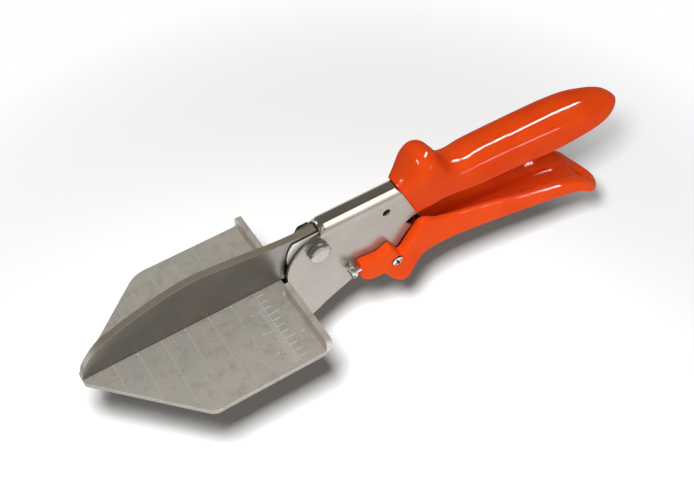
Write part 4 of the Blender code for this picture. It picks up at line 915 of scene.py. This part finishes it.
def makeHandleScrew():
    # low dome with a cross cut into it
    profile = [(screws["front"], 0.4), (-9.4, 1.1), (-9.25, 1.75), (-9.0, 2.25), (-8.7, 2.52), (-8.4, 2.6), (-7.9, 2.6),
               (-7.9, 1.5), (11.2, 1.5), (11.4, 1.3)]
    screw = turned("handleScrew", profile, 1, screwPlace, 56)
    half, reach = screws["slot"] / 2, screws["cross"] / 2
    across, down = screws["crossTurn"]
    corners, turning = np.array(box((-1, -1), (1, 1))), np.array([(across, down), (-down, across)])
    arms = [slab("arm", corners * size @ turning + screwPlace, 1, -2 * spare, screws["front"] + screws["slotDepth"])
            for size in ((half, reach), (reach, half))]
    carve(screw, "DIFFERENCE", *arms)
    wear(soften(screw, 0.06, 35), "lever", screwSteel, "zinc_fittings", "handle_screw")


def makeAdjuster():
    # slotted cheese head on a threaded shank
    (front, rear), pitch = screws["head"], screws["pitch"]
    valley = np.arange(*screws["thread"], pitch)
    turns = [abreast(valley + pitch * share, radius) for share, radius in ((0, 1.1), (0.5, 1.35))]
    head = [(front, 0.5), (front + 0.02, 1.9), (front + 0.12, 2.4), (front + 0.35, 2.65), (rear - 0.2, 2.7),
            (rear, 2.55), (rear, 1.1)]
    profile = join([head, np.stack(turns, 1).reshape(-1, 2), [(screws["shank"], 1.0)]])
    screw = turned("adjustingScrew", profile, 0, screws["axis"])
    half, (y, z) = screws["slot"] / 2, screws["axis"]
    cut = box((y - spare, z - half), (y + spare, z + half))
    carve(screw, "DIFFERENCE", slab("slot", cut, 0, front - spare, front + screws["slotDepth"]))
    wear(screw, "lever", screwSteel, "zinc_fittings", "adjusting_screw", smooth=40)


# pieces made from the solids with soft edges: body, finish, slot and width of the edge
fittings = (
    ("frame", anvilInsert, "anvil_insert", 0.1, ("anvil_strip",)),
    ("frame", darkSteel, "dark_steel", 0.2, ("anvil_bar", "near_table_bracket", "far_table_bracket")),
    ("frame", darkSteel, "zinc_fittings", 0.2, ("pivot_nut",)),
    ("lever", zincSteel, "zinc_fittings", 0.15, ("handle_nut",)),
    ("frame", discSteel, "zinc_fittings", 0.2, ("near_wear_plate", "far_wear_plate")))

# solids that are shown as they are, by finish
carried = (
    (zincSteel, ("jaw_rivet_1", "jaw_rivet_2", "jaw_rivet_3", "spacer_rivet", "jaw_spacer", "spring_bush",
                 "near_tang_spacer", "far_tang_spacer", "catch_pin")),
    (darkSteel, ("pivot_washer", "return_spring", "tang_rivet", "catch_lever")),
    (bronzeMetal, ("pivot_bush",)), (platedSteel, ("lower_handle_core",)))


def makeFittings():
    for body, paint, slot, width, nodes in fittings:
        for node in nodes:
            name = node.title().replace("_", "")
            piece = soften(fromNode(name[0].lower() + name[1:], node), width, 25)
            wear(piece, body, paint, slot, node)
    for paint, nodes in carried:
        for node in nodes:
            for slot in frame["nodes"][node].material_slots:
                slot.material = paint


makeBolt()
makeHandleScrew()
makeAdjuster()
makeFittings()
print("fittings made")


# Floor, light and camera

# the floor lies drop below the tool and turns plain white over the distances of clear, in metres
studio = {"drop": 0.06, "reach": 3.0, "floor": (0.362, 0.362, 0.364), "clear": (0.15, 0.29), "sky": 1.0}

# the sky from front to back: place from -1 to 1, and colour
bands = ((-1.0, 0.5, 0.5, 0.48), (-0.952, 0.5, 0.5, 0.48), (-0.94, 2.0, 2.0, 2.0), (-0.92, 2.0, 2.0, 2.0),
         (-0.86, 0.9, 0.9, 0.87), (-0.72, 0.5, 0.5, 0.47), (-0.5, 0.33, 0.32, 0.29), (-0.25, 0.25, 0.24, 0.21),
         (0.2, 0.27, 0.26, 0.23), (0.8, 0.27, 0.26, 0.23), (1.0, 0.3, 0.3, 0.28))

# place in metres, direction of the long side, length, width, watts, light or only a gleam, and the pieces
# that it works on, where none means all but the floor
lamps = {
    "key": ((-0.275, -0.25, 0.94), (1, 0, 0), 0.22, 0.22, 6.0, "light", ()),
    "floorKey": ((-0.1545, -0.169, 0.4055), (1, 0, 0), 0.048, 0.048, 9.6, "light", ("floor",)),
    "fill": ((-0.34, -0.48, 0.83), (1, 0, 0), 0.25, 0.25, 1.7, "light", ("lowerGrip",)),
    "rimStrip": ((-0.8, 0.5, 0.36), (0, 0, 1), 0.3, 0.5, 2.6, "gleam", ("frameChannel",)),
    "foldStrip": ((0.4, -0.69, 0.65), (1, 0, 0), 0.7, 0.8, 4.4, "gleam", ("frameChannel",)),
    "longStrip": ((0.51, -0.03, 0.91), (0.545, 0.26, -0.26), 1.1, 0.09, 115, "gleam", ("upperGrip",)),
    "sideStrip": ((-0.78, 0.0, 0.6), (0, 1, 0.1), 0.5, 0.07, 36, "gleam", ("upperGrip", "lowerGrip")),
    "lowStrip": ((0.5, -0.9, 0.17), (1, 0, 0), 0.35, 0.07, 5, "gleam", ("upperGrip",)),
    "lipStrip": ((0.81, -0.06, 0.58), (0, 1, 0), 0.6, 0.04, 16, "gleam", ("lowerGrip",))}
lampAim = (0, 0, 0.05)


def makeFloor():
    # low enough that the open handle stays above it
    reach = studio["reach"]
    corners = [(*corner, -studio["drop"]) for corner in box((-reach, -reach), (reach, reach))]
    floor = shape("floor", corners, [(0, 1, 2, 3)])
    paint = Paint("floorPaint", Roughness=0.9, Specular_IOR_Level=0.1)
    paint.set("Base Color", studio["floor"])
    seen = paint.node("LightPath", take="Is Camera Ray") + paint.node("LightPath", take="Is Glossy Ray")
    glow = paint.node("Emission")
    distance = paint.node("VectorMath", {0: paint.place}, "Value", operation="LENGTH")
    far = paint.ramp(distance, *studio["clear"])
    mixed = paint.node("MixShader", {0: seen * far, 1: Wire(paint, paint.shader.outputs[0]), 2: glow})
    paint.feed(paint.surface, mixed)
    floor.data.materials.append(paint.material)


def makeLamp(name, spot, along, length, width, watts, gives, pieces):
    lamp = bpy.data.lights.new(name, "AREA")
    lamp.shape = "RECTANGLE"
    lamp.size, lamp.size_y = length, width
    lamp.energy = watts
    made = stand(name, lamp)
    back = np.subtract(spot, lampAim)
    back /= np.linalg.norm(back)
    right = along - np.dot(along, back) * back
    right /= np.linalg.norm(right)
    columns = np.stack([right, np.cross(back, right), back], 1)
    made.matrix_world = Matrix.Translation(spot) @ Matrix(columns.tolist()).to_4x4()
    made.visible_glossy = gives == "gleam"
    made.visible_diffuse = gives == "light"
    lit = bpy.data.collections.new(name + "Lights")
    for piece in list(bpy.data.objects):
        if piece.name in pieces or not pieces and piece.type == "MESH" and piece.name != "floor":
            lit.objects.link(piece)
    made.light_linking.receiver_collection = lit


def makeLight():
    # the sky is bands: a bright strip low in the front, then dim over the top to the back
    world = bpy.data.worlds.new("studio")
    world.use_nodes = True
    tree, background = world.node_tree, world.node_tree.nodes["Background"]
    place, split, share, ramp = (tree.nodes.new("ShaderNode" + kind) for kind in (
        "TexCoord", "SeparateXYZ", "MapRange", "ValToRGB"))
    share.inputs["From Min"].default_value, share.inputs["From Max"].default_value = -1, 1
    elements = ramp.color_ramp.elements
    while len(elements) < len(bands):
        elements.new(0.5)
    for element, (depth, *colour) in zip(elements, bands):
        element.position = (depth + 1) / 2
        element.color = (*colour, 1)
    tree.links.new(place.outputs["Generated"], split.inputs[0])
    tree.links.new(split.outputs["Y"], share.inputs["Value"])
    tree.links.new(share.outputs["Result"], ramp.inputs["Fac"])
    tree.links.new(ramp.outputs["Color"], background.inputs["Color"])
    background.inputs["Strength"].default_value = studio["sky"]
    bpy.context.scene.world = world
    for name, values in lamps.items():
        makeLamp(name, *values)


# focal length and picture width in pixels; azimuth, elevation and roll; place in millimetres
view = {"focal": 1073.58, "wide": 694, "turn": (-33.43, 53.23, 0.93), "place": (-28.0, -219.2, 347.5)}


def makeCamera():
    camera = bpy.data.cameras.new("photoView")
    camera.lens = camera.sensor_width * view["focal"] / view["wide"]
    camera.clip_start, camera.clip_end = 0.01, 20
    made = stand("photoView", camera)
    azimuth, elevation, roll = np.radians(view["turn"])
    made.matrix_world = (Matrix.Translation(inMetres(view["place"])[0]) @ Matrix.Rotation(azimuth, 4, "Z")
                         @ Matrix.Rotation(np.pi / 2 - elevation, 4, "X") @ Matrix.Rotation(roll, 4, "Z"))
    bpy.context.scene.camera = made


makeFloor()
makeLight()
makeCamera()
bpy.context.scene.view_settings.view_transform = "Standard"
print("stage made")
